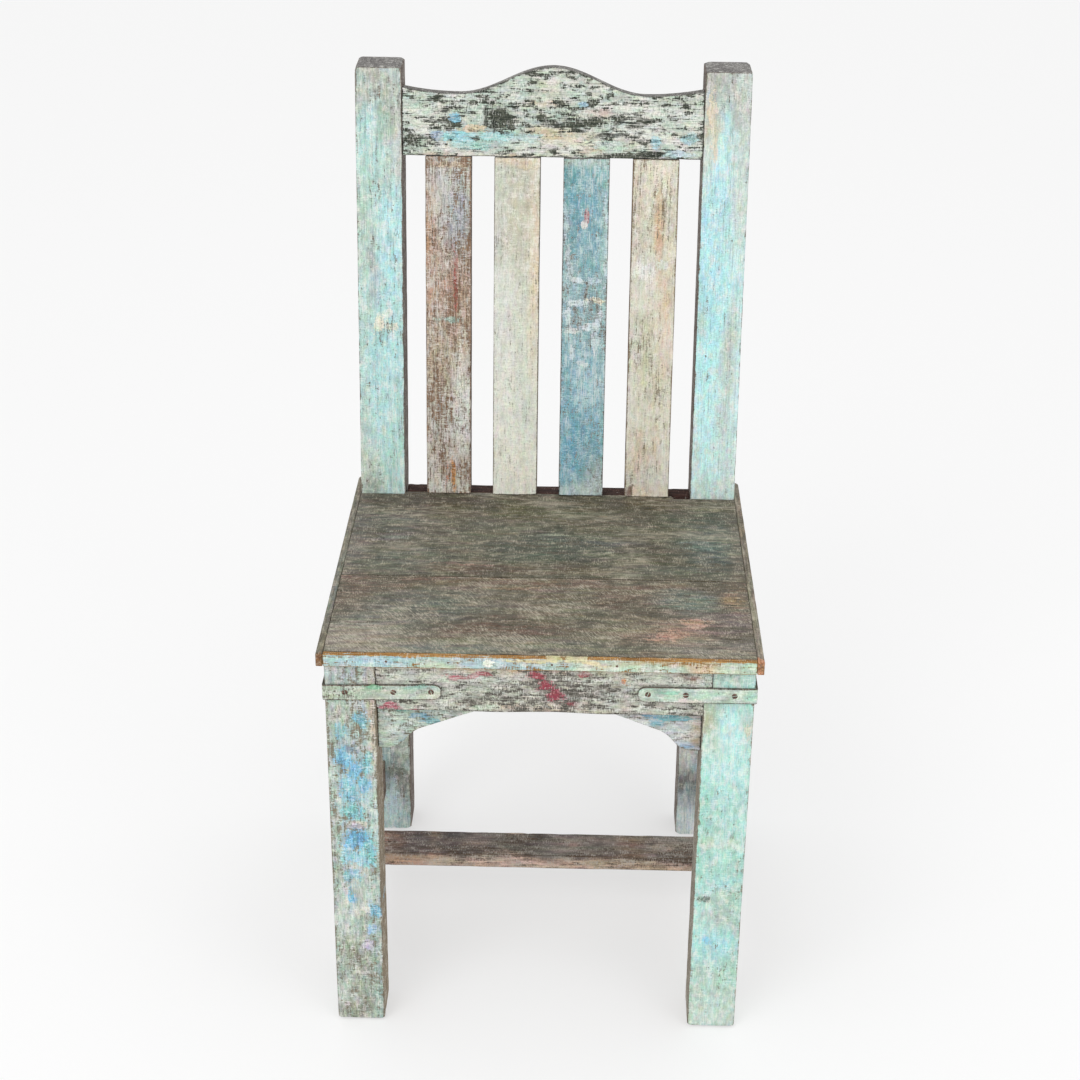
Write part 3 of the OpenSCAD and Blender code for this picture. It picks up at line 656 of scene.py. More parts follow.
def make_crest():
    pale = paint_material(
        "crest_paint", wood=("2B322A", "5E6154"), side="6A6764", end="6A6764", under="CFCDBF", halo=0.02,
        cover=0.07, cluster=0.25, chip=1.35, chip_size=(70, 170), fibre=0.6, hair=0.35, weave=0.35,
        block=0.3, block_size=(75, 190), soft=0.02, outline=0.5, wear=0.1, tone="E0DED4", tone_amount=0.6,
        flake_bias=0.05, second="A3B8AC", second_amount=0.45, checks=0.4, check_colour="262B24",
        brush=0.45, cross_brush=0.5, dirt=0.2, crackle=0.2, crackle_size=230, relief=0.7)

    def place(u, v, w):
        x = u - INNER + 0.05
        return raked(x, w, CREST_S + v * crest_top(x) / (CREST_H + HUMP))

    def straight(p):
        """The grain runs level, whatever the shape of the top."""
        return np.stack([p[:, 0], p[:, 1] * crest_top(p[:, 0] - INNER) / (CREST_H + HUMP), p[:, 2]], -1)

    board("crest_rail", (2 * INNER - 0.1, CREST_H + HUMP, CREST_T), place, pale, 5, "BFC8BC", [
        (-148, 874, 16, 10, "BCCDBE", 1.4, 0.12), (-120, 868, 18, 10, "9DA79A", 0.6, -0.12),
        (-148, 846, 16, 4, "6B7466", 1, -0.2), (-145, 836, 12, 5, "9DAE9F", 1, 0.04),
        (-118, 825, 26, 4, "CDB8A5", 2, 0.1), (-40, 826, 30, 3, "CDB48F", 1.6, 0.06),
        (0, 895, 50, 12, "C0CBBC", 1, 0.1), (-6, 897, 10, 6, "C6AE8C", 2),
        (-8, 882, 16, 3, "CBA983", 1.4, 0.06), (-56, 870, 12, 14, "8E988B", 1, -0.18),
        (-84, 872, 14, 8, "B5C2B4", 1, 0.08), (22, 864, 30, 6, "A7B0A4", 0.6, -0.12),
        (4, 850, 26, 6, "D0B791", 3, 0.16), (-70, 848, 46, 7, "AFCFCB", 1.6, 0.16),
        (40, 838, 26, 5, "CDBB9D", 1.6, 0.08), (52, 874, 14, 4, "D2B7AC", 1.8, 0.06),
        (85, 868, 30, 8, "9FB0A4", 0.8, -0.12), (84, 856, 12, 6, "9FB0A4", 0.8, -0.06),
        (130, 872, 26, 8, "C3CEC4", 1.2, 0.1), (126, 848, 14, 9, "C9CCC2", 1.2, 0.1),
        (108, 856, 14, 5, "9FB0A4", 1, -0.1), (152, 858, 8, 12, "8E988B", 1, -0.08),
        (95, 826, 40, 4, "5A4A3E", 1.4, -0.18), (20, 836, 16, 4, "4E5347", 1, -0.14),
        (60, 828, 12, 4, "4E5347", 1, -0.12),
    ], [
        (-101, 847, 20, 6.5, "99D2DB"), (-105, 868, 5, 6, "86C6DD"), (-61, 849, 20, 5, "A4D3D4"),
        (-30, 847, 15, 4, "B5CFCB"), (-124, 848, 6, 5, "94AFC6"), (-84, 838, 16, 4, "9CCBC6"),
        (113, 843, 5, 7, "9ECAD0"), (146, 850, 7, 4, "A3C6CC"), (62, 839, 14, 5, "BAD0C2"),
        (133, 833, 12, 4, "B9D2D6"), (32, 880, 5, 3, "A6CBD6"), (-85, 854, 14, 3.5, "D9C3A6"),
        (-70, 868, 1.6, 13, "3A4036"), (-63, 866, 1.4, 15, "343A30"), (-56, 870, 1.2, 12, "4A4F44"),
        (-49, 866, 1.2, 10, "3A4036"), (12, 862, 18, 1.6, "4A4F44"), (60, 850, 16, 2, "343A30"),
    ], step=2.4, radius=1.3, bare=(0.8, 1, 0.5, 1, 1), chips=3.0, grain_of=straight,
          pits=[(187, 45, 2.2, 2), (191, 45, 1.6, 1.6), (288, 35, 1.5, 1.5), (313, 27, 1.5, 1.5),
                (311, 72, 1.5, 1.2)])


def make_slats():
    brown = paint_material(
        "brown_slat_paint", wood=("7A604C", "B3967C"), side="5A4638", under="C6C4BB", halo=0.03,
        cover=0.05, chip=0.8, chip_size=(150, 380), fibre=0.7, hair=0.6, tone="A5ADB2", tone_amount=0.2,
        second="CFCDC5", second_amount=0.35, micro=1.6, checks=0.6, check_colour="463830", brush=0.6,
        brush_colour="DEDDD7", cross_brush=0.5, dirt=0.25)
    cream = paint_material(
        "cream_slat_paint", wood=("8B8270", "B3AA96"), side="54483E", under="DEDDD2", cover=0.18, chip=0.5,
        chip_size=(60, 330), cluster=0.25, fibre=0.6, weave=0.25, hue=0.35, tone="CDD3C8", tone_amount=0.4,
        second="E4E2D8", micro=0.7, vary=0.25, streak=0.4, checks=0.15, check_colour="7E7A6C", brush=0.4,
        dirt=0.2, dirt_colour="A39B88")
    teal = paint_material(
        "teal_slat_paint", wood=("5E5B55", "8B8880"), side="37373A", under="C8CFCB", halo=0.06, cover=0.14,
        chip=0.9, chip_size=(100, 200), fibre=0.3, tone="A3BDBE", tone_amount=0.4, second="B9CBCC",
        second_amount=0.35, cluster=0.2, micro=1.1, checks=0.2, outline=0.35, brush=0.5,
        brush_colour="DCE1DE", dirt=0.15, dirt_colour="7A858A")
    beige = paint_material(
        "beige_slat_paint", wood=("83735B", "AA9A80"), side="5E4236", under="D8D4C5", cover=0.14, chip=0.5,
        chip_size=(55, 300), cluster=0.4, fibre=0.7, weave=0.25, hue=0.5, tone="D6D2C6", tone_amount=0.35,
        micro=0.9, vary=0.3, streak=0.45, checks=0.2, check_colour="7A6C5A", brush=0.5,
        brush_colour="E0DED2", dirt=0.2, dirt_colour="9E947F")

    length = CREST_S - SEAT_T / math.cos(RAKE)

    def place(x):
        def at(u, v, w):
            foot = (SEAT_T + w * math.sin(RAKE)) / math.cos(RAKE)
            return raked(x + v, w, foot + u / length * (CREST_S - foot))
        return at

    def slat(node, number, material, *looks, **more):
        x = -INNER + SLAT_GAP + number * (SLAT_W + SLAT_GAP)
        board(node, (length, SLAT_W, SLAT_T), place(x), material, 6 + number, *looks,
              bare=(1, 1, 0.4, 1, 1), radius=1.3, step=2.8, **more)

    slat("left_outer_slat", 0, brown, "BDB5A9", [
        (-110, 800, 30, 24, "ABABA5", 1.4, 0.04), (-101, 757, 11, 36, "84909A", 2.4, 0.05),
        (-133, 735, 6, 60, "AE8058", 3, 0.05), (-112, 690, 26, 40, "A58069", 2.2, 0.03),
        (-118, 610, 22, 40, "AA9478", 2.2, 0.08), (-95, 640, 6, 50, "A98E70", 1.2, 0.04),
        (-96, 555, 12, 40, "D8D8D0", 2.6, 0.1), (-120, 535, 14, 30, "AFABA1", 1.6, 0.0),
        (-112, 492, 24, 20, "B6A390", 1.4, 0.02), (-112, 458, 24, 8, "C9C3B6", 1.8, 0.08),
    ], [
        (-106, 474, 2.6, 16, "C0803F"), (-114, 478, 1.6, 14, "A86C48"), (-105, 690, 2, 30, "96483C"),
        (-110, 820, 24, 4, "B8A48E"), (-98, 600, 2.2, 30, "D6D2C4"), (-110, 650, 14, 3, "A9C3B4"),
    ])
    slat("left_inner_slat", 1, cream, "D2D1C2", [
        (-37, 780, 60, 60, "B5B3A2", 1.6), (-37, 520, 60, 90, "EAEADD", 2.2),
        (-37, 824, 30, 4, "D6BC9C", 2.4), (-56, 800, 7, 26, "C3CFC0", 1.6),
        (-18, 740, 5, 60, "DBC29E", 2.4), (-57, 740, 5, 30, "BAB9B4", 1.6, -0.05),
        (-56, 640, 10, 80, "CCD1CB", 1.6), (-30, 600, 10, 80, "C2CCBC", 1.4),
        (-18, 620, 5, 90, "DDCDAE", 1.4), (-24, 545, 12, 36, "B4C7BC", 1.8),
        (-37, 474, 24, 34, "E6E1CD", 1.6), (-37, 760, 10, 30, "C9C7A9", 1),
    ], [(-30, 819, 12, 3, "C9BFA4")])
    slat("right_inner_slat", 2, teal, "6E9BA0", [
        (37, 560, 60, 60, "86AEB5", 1), (42, 655, 40, 40, "8FB0B5", 1, -0.05),
        (37, 812, 28, 12, "5B989C", 2), (38, 770, 18, 40, "6B9CAC", 1.4),
        (59, 745, 5, 80, "A3C2BB", 2, -0.02), (22, 700, 8, 12, "9DB4B5", 1, -0.02),
        (44, 655, 14, 8, "8FAAAE", 1, -0.02), (26, 660, 12, 12, "9FAFB0", 1, -0.02),
        (50, 690, 10, 10, "9DB6B5", 1, -0.02), (16, 740, 4, 30, "9DB4B5", 1, -0.02),
        (58, 620, 5, 30, "9DB4B5", 1, -0.02), (40, 628, 14, 8, "9DB4B5", 1, -0.02),
        (36, 560, 20, 60, "6DA6BC", 1.6), (22, 495, 9, 50, "74AFC8", 1.6),
        (54, 540, 7, 26, "8FC0CB", 1.6, -0.04), (54, 474, 10, 16, "B0B7B2", 2, -0.04),
        (37, 456, 24, 7, "C4C6B7", 2), (37, 822, 26, 4, "C9C2A4", 1.6),
    ], [
        (50, 672, 10, 2.2, "DCD8C0"), (24, 640, 9, 3, "CFD3D0"), (20, 712, 3, 26, "B9C5C6"),
        (50, 630, 4, 12, "BCCCCC"), (28, 692, 8, 3, "C6D0D2"), (46, 694, 7, 4, "BFCDD2"),
        (30, 668, 11, 3, "CBD5D8"), (54, 652, 3, 11, "C4CFD2"), (20, 654, 3, 9, "C4D0D0"),
        (42, 644, 10, 2.6, "D0D8D8"), (60, 704, 2.6, 14, "BFCDD0"), (59, 770, 2, 14, "B4C8CC"),
        (38, 600, 8, 2.4, "C6D2D4"), (26, 610, 3, 9, "BFD0D4"), (15, 760, 2, 20, "A9BFC6"),
        (37, 765, 2.4, 7, "9A5A5E"), (33, 757, 5, 2.4, "D5D3CE"),
    ], pits=[(160, 25, 1.5, 1.8), (22, 15, 1.4, 1.6), (34, 16.5, 1.2, 1.4), (320, 24, 1.6, 1.6),
             (326, 26, 1.2, 1.2)])
    slat("right_outer_slat", 3, beige, "C6C2AE", [
        (112, 540, 60, 90, "D6D3C1", 1.4), (118, 814, 14, 12, "D6D2C0", 2.4),
        (93, 780, 6, 50, "CFC4B6", 1.8), (117, 745, 4, 40, "CDA27C", 1.6),
        (104, 706, 12, 14, "CFCEC2", 1.6), (92, 620, 6, 60, "CCCDC2", 1.4), (126, 640, 6, 40, "D6B08F", 2),
        (110, 590, 12, 60, "B2B490", 1.4), (100, 500, 10, 30, "CFB093", 1.4),
        (120, 510, 5, 30, "D0A684", 1.2), (110, 470, 25, 12, "C3C8C2", 1.4), (112, 456, 20, 8, "D8BFA4", 2),
    ], [
        (102, 704, 9, 11, "E0E0D6"), (122, 712, 7, 6, "D2D4CA"), (112, 808, 3, 18, "DAD5C2"),
        (122, 806, 3, 18, "DCD8C6"), (92, 458, 3, 5, "6A4A42"),
    ], pits=[(24, 8, 1.6, 1.6), (12, 10, 1.6, 1.6), (42, 9, 1.2, 1.2), (210, 24, 1.0, 1.2)])


def make_seat():
    common = dict(
        wood=("4A4436", "7C7361"), side="57503F", end="57503F", under="A3A192", halo=0.02, chip=0.8,
        chip_size=(40, 200), fibre=0.6, hair=0.4, weave=0.4, soft=0.06, outline=0.1, vary=2.0, streak=1.9,
        rub=0.15, micro=1.6, hue=0.7, hue_size=(22, 130), tone="5F5B4B", tone_amount=0.45, second="968B79",
        second_amount=0.35, checks=0.4, check_colour="332F26", dirt=0.3, dirt_colour="7A7060", wear=0.05,
        rough=(0.7, 0.55), brush_colour="C2BAA9", cross_brush=0.5)
    rear = paint_material("seat_wood_rear", cover=0.13, brush=0.45, **common)
    front = paint_material(
        "seat_wood_front", cover=0.12, brush=0.68, brush_twist=1.0, brush_size=(120, 700), **common)
    strip = common | dict(
        cover=0.1, brush=0.4, wear=0.05, wood=("554C3D", "8D816C"), side="6A5F4E", end="8A6A48",
        side_bare=0.1)
    side_wood = paint_material("seat_edge_wood", **strip)
    face = paint_material(
        "edging_paint", wood=("94682F", "C69A5E"), side="8C6436", end="8A5A34", under="CDBB92", cover=0.14,
        chip=0.9, chip_size=(70, 300), fibre=0.4, wear=0.24, wear_mm=1.4, rub=0.2, cluster=0.4,
        tone="BCC9A8", tone_amount=0.35, checks=0.25, outline=0.5, dirt=0.2, side_bare=0.6, brush=0.2)

    def flat(x, y):
        return lambda u, v, w: np.stack([x + u, y + v, SEAT_Z - w], -1)

    width = 2 * OUTER
    depth = front_board_high[1] - front_board_low[1]
    board("seat_front_board", (width, depth, SEAT_T), flat(-OUTER, LEG_Y), front, 10, "716756", [
        (-178, -205, 26, 30, "979286", 5.1, 0.1), (-196, -110, 16, 16, "776053", 3.4),
        (-120, -150, 45, 34, "626C63", 2.7), (-150, -90, 40, 8, "806C5A", 2.7),
        (-40, -182, 50, 16, "634B3D", 4.4, -0.02), (-90, -224, 40, 8, "77817B", 2.4, 0.05),
        (192, -115, 10, 12, "9A8160", 4.4), (0, -80, 400, 7, "735B4A", 4.4),
        (120, -78, 60, 5, "767D69", 2.7), (190, -165, 18, 22, "7C6D69", 3.1, 0.05),
        (150, -118, 26, 18, "6B7A73", 3.4), (140, -186, 30, 18, "A08672", 2.7, 0.03),
        (170, -212, 40, 18, "858076", 2.7, 0.05), (40, -150, 50, 40, "656050", 1.7),
        (80, -120, 30, 20, "6F5846", 2), (10, -215, 60, 14, "6E7163", 2.4),
        (110, -190, 34, 16, "847160", 2),
    ], [
        (130, -190, 17, 8, "B5907A"), (152, -166, 11, 9, "B7947F"), (112, -198, 9, 5, "AA8A74"),
        (-30, -95, 30, 3, "8F7760"), (192, -112, 8, 7, "9D8462"),
    ], top_view=True, radius=0.6, chips=0.8, bare=(0.3, 0.5, 1, 0.2, 0.2))

    tongue = rear_board_high[1] - rear_board_low[1]
    shoulder = KNEE_Y - 0.25 - rear_board_low[1]

    def notch(q):
        """The back edge stops at the posts and reaches between them, with a gap beside the right one."""
        x = q[:, 0] - OUTER
        limit = np.where(np.abs(x) > INNER - 0.25, shoulder, tongue)
        limit = np.where((x > INNER - 21) & (x < INNER + 1), shoulder - 0.75, limit)
        q[:, 1] = np.minimum(q[:, 1], limit - 0.02 * (tongue - q[:, 1]))
        return q

    notch_lines = [OUTER - INNER + 0.25, OUTER - INNER + 0.5, OUTER + INNER - 21, OUTER + INNER - 21.3,
                   OUTER + INNER + 1, OUTER + INNER + 1.3]
    board("seat_rear_board", (width, tongue, SEAT_T), flat(-OUTER, rear_board_low[1]), rear, 11, "575240", [
        (0, 112, 160, 14, "4E4734", 4.4), (-150, 108, 34, 16, "51433C", 3.4),
        (-202, 40, 10, 80, "747069", 3.4, 0.04), (185, 20, 24, 46, "56665F", 4.4),
        (-10, 92, 60, 14, "535132", 4.4), (60, 14, 30, 5, "575A5E", 3.4),
        (-80, 40, 50, 30, "6E6D5D", 2.4, 0.03), (-40, -52, 70, 8, "5F4D3D", 4.1),
        (140, 70, 50, 26, "545648", 2.4), (-150, -30, 40, 26, "63685E", 2.4),
        (80, 60, 40, 20, "635E4B", 1.7), (204, 0, 6, 90, "766D5C", 2.7), (0, 0, 60, 30, "545E51", 2),
        (150, -50, 60, 8, "676C5E", 2.4), (-160, 60, 30, 24, "62665F", 2),
        (100, 110, 60, 10, "564B2E", 2.4),
    ], [
        (-90, -44, 34, 2.6, "7E6257"), (5, 30, 16, 3, "8B8C7C"), (-165, 20, 16, 12, "7D7B74"),
        (70, -8, 5, 3, "93937F"), (170, 10, 20, 10, "67756D"),
    ], top_view=True, radius=0.6, chips=0.8, bare=(0.5, 0.5, 1, 0.2, 0.2),
          extra=(notch_lines, [shoulder - 1, shoulder], ()), shape=notch,
          pits=[(176, 110, 1.4, 1.5), (180, 110, 1.8, 1.8), (184, 110.5, 1.3, 1.3)])

    def front_strip(u, v, w):
        return np.stack([u - OUTER, edging_low[1] + w, KNEE_Z + v], -1)

    board("front_edging", (width, SEAT_T, EDGING_T), front_strip, face, 12, "AEC2B4", [
        (-155, 443, 40, 9, "A0C4CE", 2.6), (-105, 440, 20, 5, "BFC896", 1.8),
        (-40, 443, 50, 5, "A5BECB", 2.6), (30, 446, 50, 4, "C9C4B0", 1.6), (10, 441, 60, 4, "A9C6BE", 1.4),
        (90, 442, 30, 5, "B6D0B8", 1.6), (160, 443, 11, 9, "D6B994", 2.6), (60, 445, 14, 3, "D6B7AC", 1.2),
        (120, 448, 30, 3, "B0824A", 2, -0.1), (190, 443, 14, 9, "AFC2AC", 1.4),
    ], [(-49, 440, 4.5, 3.2, "ECEAE0"), (0, 447, 26, 2.2, "CDC896"), (40, 446, 30, 2, "D2CCA2")],
          step=2.2, radius=1.2, chips=1.2, bare=(0.7, 0.5, 1, 0, 0))

    length = ear_high[1] - ear_low[1]

    def ear(side):
        """A side strip, rounded where it ends at the back."""

        def at(u, v, w):
            thick = ear_high[0] - ear_low[0]
            past = np.clip((u - (length - thick)) / thick, 0, 1)
            reach = np.sqrt(np.maximum(1 - past**2, 0.02))
            return np.stack([side * (ear_low[0] + (thick - w) * reach), ear_low[1] + u, KNEE_Z + v], -1)
        return at

    board("left_edging", (length, SEAT_T, EDGING_T), ear(-1), side_wood, 13, "736A5B", [
        (-214, -100, 10, 60, "6A7270", 1.6), (-214, 60, 10, 60, "77746C", 1.4),
        (-214, 165, 10, 20, "6B5F50", 1.4),
    ], [(-214, -244, 10, 7, "7D5A3A")],
          top_view=True, step=2.6, radius=0.8, chips=1.0, bare=(0.3, 0, 0, 0.8, 0.2))
    board("right_edging", (length, SEAT_T, EDGING_T), ear(1), side_wood, 14, "7C725F", [
        (214, -60, 10, 60, "6F6A5C", 1.6), (214, 100, 10, 60, "807666", 1.4),
        (214, -200, 10, 30, "7D7A70", 1.4),
    ], [(214, -244, 11, 8, "B97F55")],
          top_view=True, step=2.6, radius=0.8, chips=1.0, bare=(0.3, 0, 0, 0.1, 0.2))


def make_aprons():
    grey = paint_material(
        "apron_paint", wood=("4C4942", "87837A"), side="6B5B49", under="CFCBBE", halo=0.03, cover=0.07,
        chip=1.1, chip_size=(70, 170), fibre=0.5, hair=0.35, weave=0.6, block=0.2, block_size=(90, 200),
        outline=0.5, tone="B9C6B8", tone_amount=0.5, second="D3D2C6", second_amount=0.45, checks=0.45,
        brush=0.4, cross_brush=0.5, dirt=0.25, wear=0.1, crackle=0.4, crackle_size=240)
    plain = paint_material(
        "side_apron_paint", wood=("5A5346", "857C6B"), side="5A4A3A", under="C9CABE", cover=0.06, chip=1.0,
        chip_size=(80, 260), fibre=0.7, tone="9FB9AE", tone_amount=0.5, vary=0.35, checks=0.5)

    left, right = -INNER, INNER + LAP

    def wave(x):
        return 1.1 * (1 + np.sin(x / 17 + 1.0)) * np.exp(-((x / 110) ** 2)) * 0.6

    def place(u, v, w):
        """v runs down from the top; the end past the leg's face is a shorter, thinner lap."""
        x = left + u
        corner = np.clip((left + 7 - x) / 7, 0, 1)
        drop = APRON_H - wave(x) - 7 * (1 - np.sqrt(1 - corner**2))
        lap = x > INNER + 0.05
        drop = np.where(lap, APRON_H / 2, drop)
        depth = np.where(lap, w / APRON_T * (APRON_T / 3 - 0.2), w)
        return np.stack([x, LEG_Y + depth, KNEE_Z - v / APRON_H * drop], -1)

    lap_lines = [INNER - left, INNER - left + 0.15]
    corner_lines = [0.25, 0.8, 1.6, 2.6, 3.8, 5.2, 7]
    board("front_apron", (right - left, APRON_H, APRON_T), place, grey, 15, "B4B2A7", [
        (-125, 428, 34, 8, "C0C0B6", 1.6, 0.05), (-45, 433, 50, 3, "CFB18C", 3, 0.1),
        (-130, 389, 30, 5, "B3BDAE", 1.4, 0.04), (-45, 405, 36, 10, "96988A", 2, -0.03),
        (70, 406, 34, 8, "8A867C", 1.6, -0.09), (20, 428, 26, 5, "A8A597", 1, -0.04),
        (85, 394, 30, 7, "BDBBB1", 1.4, 0.05), (147, 428, 13, 3.5, "7F584C", 3.4, 0.05),
        (-20, 392, 60, 4, "B7A590", 1.2), (60, 431, 30, 3, "B9AE96", 1.4, 0.03),
        (130, 392, 30, 6, "A4AB9E", 1.2), (164, 424, 5, 14, "B2CDBE", 2.4, 0.1),
        (10, 388, 70, 3, "8E7F6C", 1.2),
    ], [
        (-149, 388, 9, 3.5, "A8485A"), (-82, 424, 9, 3.2, "A8465A"), (-56, 425, 12, 2.6, "A4525C"),
        (-3, 424, 8, 4, "AD4556"), (6, 415, 8, 5, "A83F52"), (16, 404, 9, 6, "A64656"),
        (28, 396, 8, 3, "8F4A50"), (44, 427, 6, 3, "A04E54"), (85, 419, 3, 3, "CB8A52"),
        (-122, 387, 7, 2, "A05A60"), (-60, 390, 20, 3, "B9C2B2"), (-100, 412, 16, 4, "C6C6BC"),
    ], step=2.4, radius=1.2, chips=2.4, bare=(0.2, 0.7, 1, 0.4, 0.4),
          extra=(lap_lines + corner_lines, [], []))

    def along_side(side, low, high):
        length = post_low[1] - (LEG_Y + LEG)

        def at(u, v, w):
            z = low + v
            reach = post_face(z) - 0.05 - (LEG_Y + LEG)
            return np.stack([side * (OUTER - w), LEG_Y + LEG + u / length * reach, z], -1)
        return at, length

    for name, side, seed, base in (("left", -1, 16, "A9B3A6"), ("right", 1, 17, "A7BDB2")):
        at, length = along_side(side, APRON_Z, KNEE_Z)
        board(name + "_side_apron", (length, APRON_H, SIDE_T), at, plain, seed, base,
              bare=(0.6, 0.3, 0.9, 1, 1), radius=1.2, chips=2)
    return along_side


def make_stretchers(along_side):
    bare_wood = paint_material(
        "bare_brown_wood", wood=("54473D", "8A7767"), side="6E5A4A", end="6E5A4A", under="9A8B7E",
        halo=0.01, cover=0.1, chip=0.6, chip_size=(30, 200), fibre=0.6, hair=0.4, weave=0.6, soft=0.05,
        outline=0.1, vary=2.2, streak=1.6, micro=1.6, hue=0.6, hue_size=(25, 110), tone="6C655F",
        tone_amount=0.4, second="8A8178", second_amount=0.3, checks=0.3, check_colour="2E2620", brush=0.25,
        brush_colour="B4ADA4", cross_brush=0.9, dirt=0.3, wear=0.2, wear_mm=2.2)
    dark = paint_material(
        "dark_rail_wood", wood=("2E1E1A", "5A3C33"), side="3A2621", end="3A2621", under="5E463D",
        halo=0.01, cover=0.05, chip=0.8, fibre=1.0, soft=0.03, outline=0.2, vary=0.4, streak=0.6,
        tone="4A3A36", checks=0.4, brush=0.12, brush_colour="8A7A70", dirt=0.3)
    low, high = stretcher_low[2], stretcher_high[2]
    for name, side, seed in (("left", -1, 18), ("right", 1, 19)):
        at, length = along_side(side, low, high)
        board(name + "_side_stretcher", (length, high - low, SIDE_T), at, bare_wood, seed, "8B8073",
              bare=(0.5, 0.3, 0.6, 1, 1), radius=1.8, chips=3)

    reach = OUTER - SIDE_T
    thick = 18
    top = (low + high) / 2 + thick / 2
    depth = 45
    front = (cross_low[1] + cross_high[1]) / 2 - depth / 2

    def cross(u, v, w):
        return np.stack([u - reach, front + v, top - w], -1)

    # the top face is painted darker than the front, partly grey weathered wood and partly painted shade
    board("cross_stretcher", (2 * reach, depth, thick), cross, bare_wood, 20, "6B625B", [
        (0, 74.5, 900, 6.5, "D2BBA7", 8, 0.12), (-150, 77, 34, 6, "AC7248", 8),
        (-40, 74, 60, 5, "C9B4A2", 7, 0.05), (60, 78, 40, 4, "A98D76", 6), (130, 75, 50, 6, "B0987C", 6),
        (188, 75, 14, 8, "D6CDC0", 6, 0.1), (-120, 88, 40, 4, "4A4347", 4), (-60, 88, 20, 4, "77706A", 3),
        (0, 88, 24, 4, "6A625C", 3), (30, 88, 20, 4, "827A72", 3), (70, 88, 16, 4, "5E534C", 3),
        (108, 88, 14, 4, "84664F", 4), (150, 88, 30, 4, "86837B", 4),
    ], bare=(0, 0, 0.5, 1, 1), radius=1.8, chips=3, step=2.8)

    gap = 1.5  # between the rail and the left post
    behind = 8  # from the posts' front face back to the rail's
    rail_t = 20

    def rail(u, v, w):
        return np.stack([u - INNER + gap, KNEE_Y + behind + w, APRON_Z + v], -1)

    board("rear_seat_rail", (2 * INNER - gap, SEAT_Z - APRON_Z, rail_t), rail, dark, 21, "4A302B",
          bare=(0.5, 0.5, 0.5, 1, 1), radius=1.2, chips=2)


def make_brackets():
    left = paint_material(
        "left_bracket_paint", wood=("6A6655", "97907C"), side="8C7C66", under="D6DDD2", cover=0.12,
        chip=1.0, chip_size=(110, 330), fibre=0.6, tone="CBD8CD", tone_amount=0.5, vary=0.3, checks=0.4,
        crackle=0.2)
    right = paint_material(
        "right_bracket_paint", wood=("6B6657", "968E7B"), side="8C7C66", under="DADAD2", cover=0.12,
        chip=0.9, chip_size=(90, 330), fibre=0.7, tone="C9CBD0", tone_amount=0.5, vary=0.3, checks=0.4)
    thick = 15

    def bracket(side, reach, drop):
        """A lobe at the leg runs out in an ogee to a narrow toe, as in the CAD piece."""
        toe, level, lobe_r, sweep_r = 10, 8, 22, 32
        steep, shallow = math.radians(50), math.radians(16)
        lobe = [(level + lobe_r * math.sin(a), lobe_r - drop - lobe_r * math.cos(a))
                for a in np.linspace(0, steep, 12)]
        lx, lz = lobe[-1]
        apart = lx * math.tan(steep) - reach * math.tan(shallow) - toe - lz
        meet_x = apart / (math.tan(steep) - math.tan(shallow))
        meet_z = lz + (meet_x - lx) * math.tan(steep)
        run = sweep_r * math.tan((steep - shallow) / 2)
        cx = meet_x - run * math.cos(steep) + sweep_r * math.sin(steep)
        cz = meet_z - run * math.sin(steep) - sweep_r * math.cos(steep)
        sweep = [(cx - sweep_r * math.sin(a), cz + sweep_r * math.cos(a))
                 for a in np.linspace(steep, shallow, 10)]
        xs, zs = zip(*([(0, -drop)] + lobe + sweep + [(reach, -0.55 * toe)]))

        def at(u, v, w):
            bottom = np.interp(u, xs, zs)
            y = LEG_Y + APRON_T - thick + w
            return np.stack([side * (u - INNER), y, APRON_Z + v / drop * bottom], -1)

        def straight(p):
            return np.stack([p[:, 0], p[:, 1] / drop * np.interp(p[:, 0], xs, zs), p[:, 2]], -1)
        return at, straight

    def one(node, side, low, high, material, seed, *looks):
        reach, drop = high[0] - low[0], high[2] - low[2]
        place, straight = bracket(side, reach, drop)
        board(node, (reach, drop, thick), place, material, seed, *looks, grain_of=straight,
              bare=(0.1, 0.7, 0.8, 0.3, 1), radius=1.0, chips=1.8, step=2.2)

    one("left_bracket", 1, bracket_low, bracket_high, left, 22, "AFC0B4", [
        (-135, 381, 26, 2.6, "77A79C", 2.4), (-100, 376, 20, 6, "B3BCB2", 1.2),
        (-150, 350, 14, 14, "B0C2B8", 1.4), (-140, 365, 20, 8, "BCC6BC", 1),
    ], [
        (-117, 374, 13, 2.6, "6995AB"), (-140, 380, 12, 1.8, "689F93"), (-104, 368, 10, 4, "7FB0B3"),
        (-134, 344, 8, 3, "9EB5BC"), (-152, 338, 6, 2, "B0C1AE"),
    ])
    one("right_bracket", -1, bracket_right_low, bracket_right_high, right, 23, "B6BAB9", [
        (157, 362, 6, 16, "C5A780", 3), (145, 341, 16, 4, "9DAEC0", 1.8), (125, 366, 24, 5, "B2C0BB", 1.6),
        (90, 376, 10, 6, "AEB0A7", 1.4),
    ], [
        (110, 379, 8, 4, "568BAB"), (134, 377, 18, 2.8, "5DA1AB"), (126, 381, 16, 1.6, "57959E"),
        (118, 371, 8, 2.6, "77A5B6"), (148, 341, 8, 2, "88A2BC"),
    ])


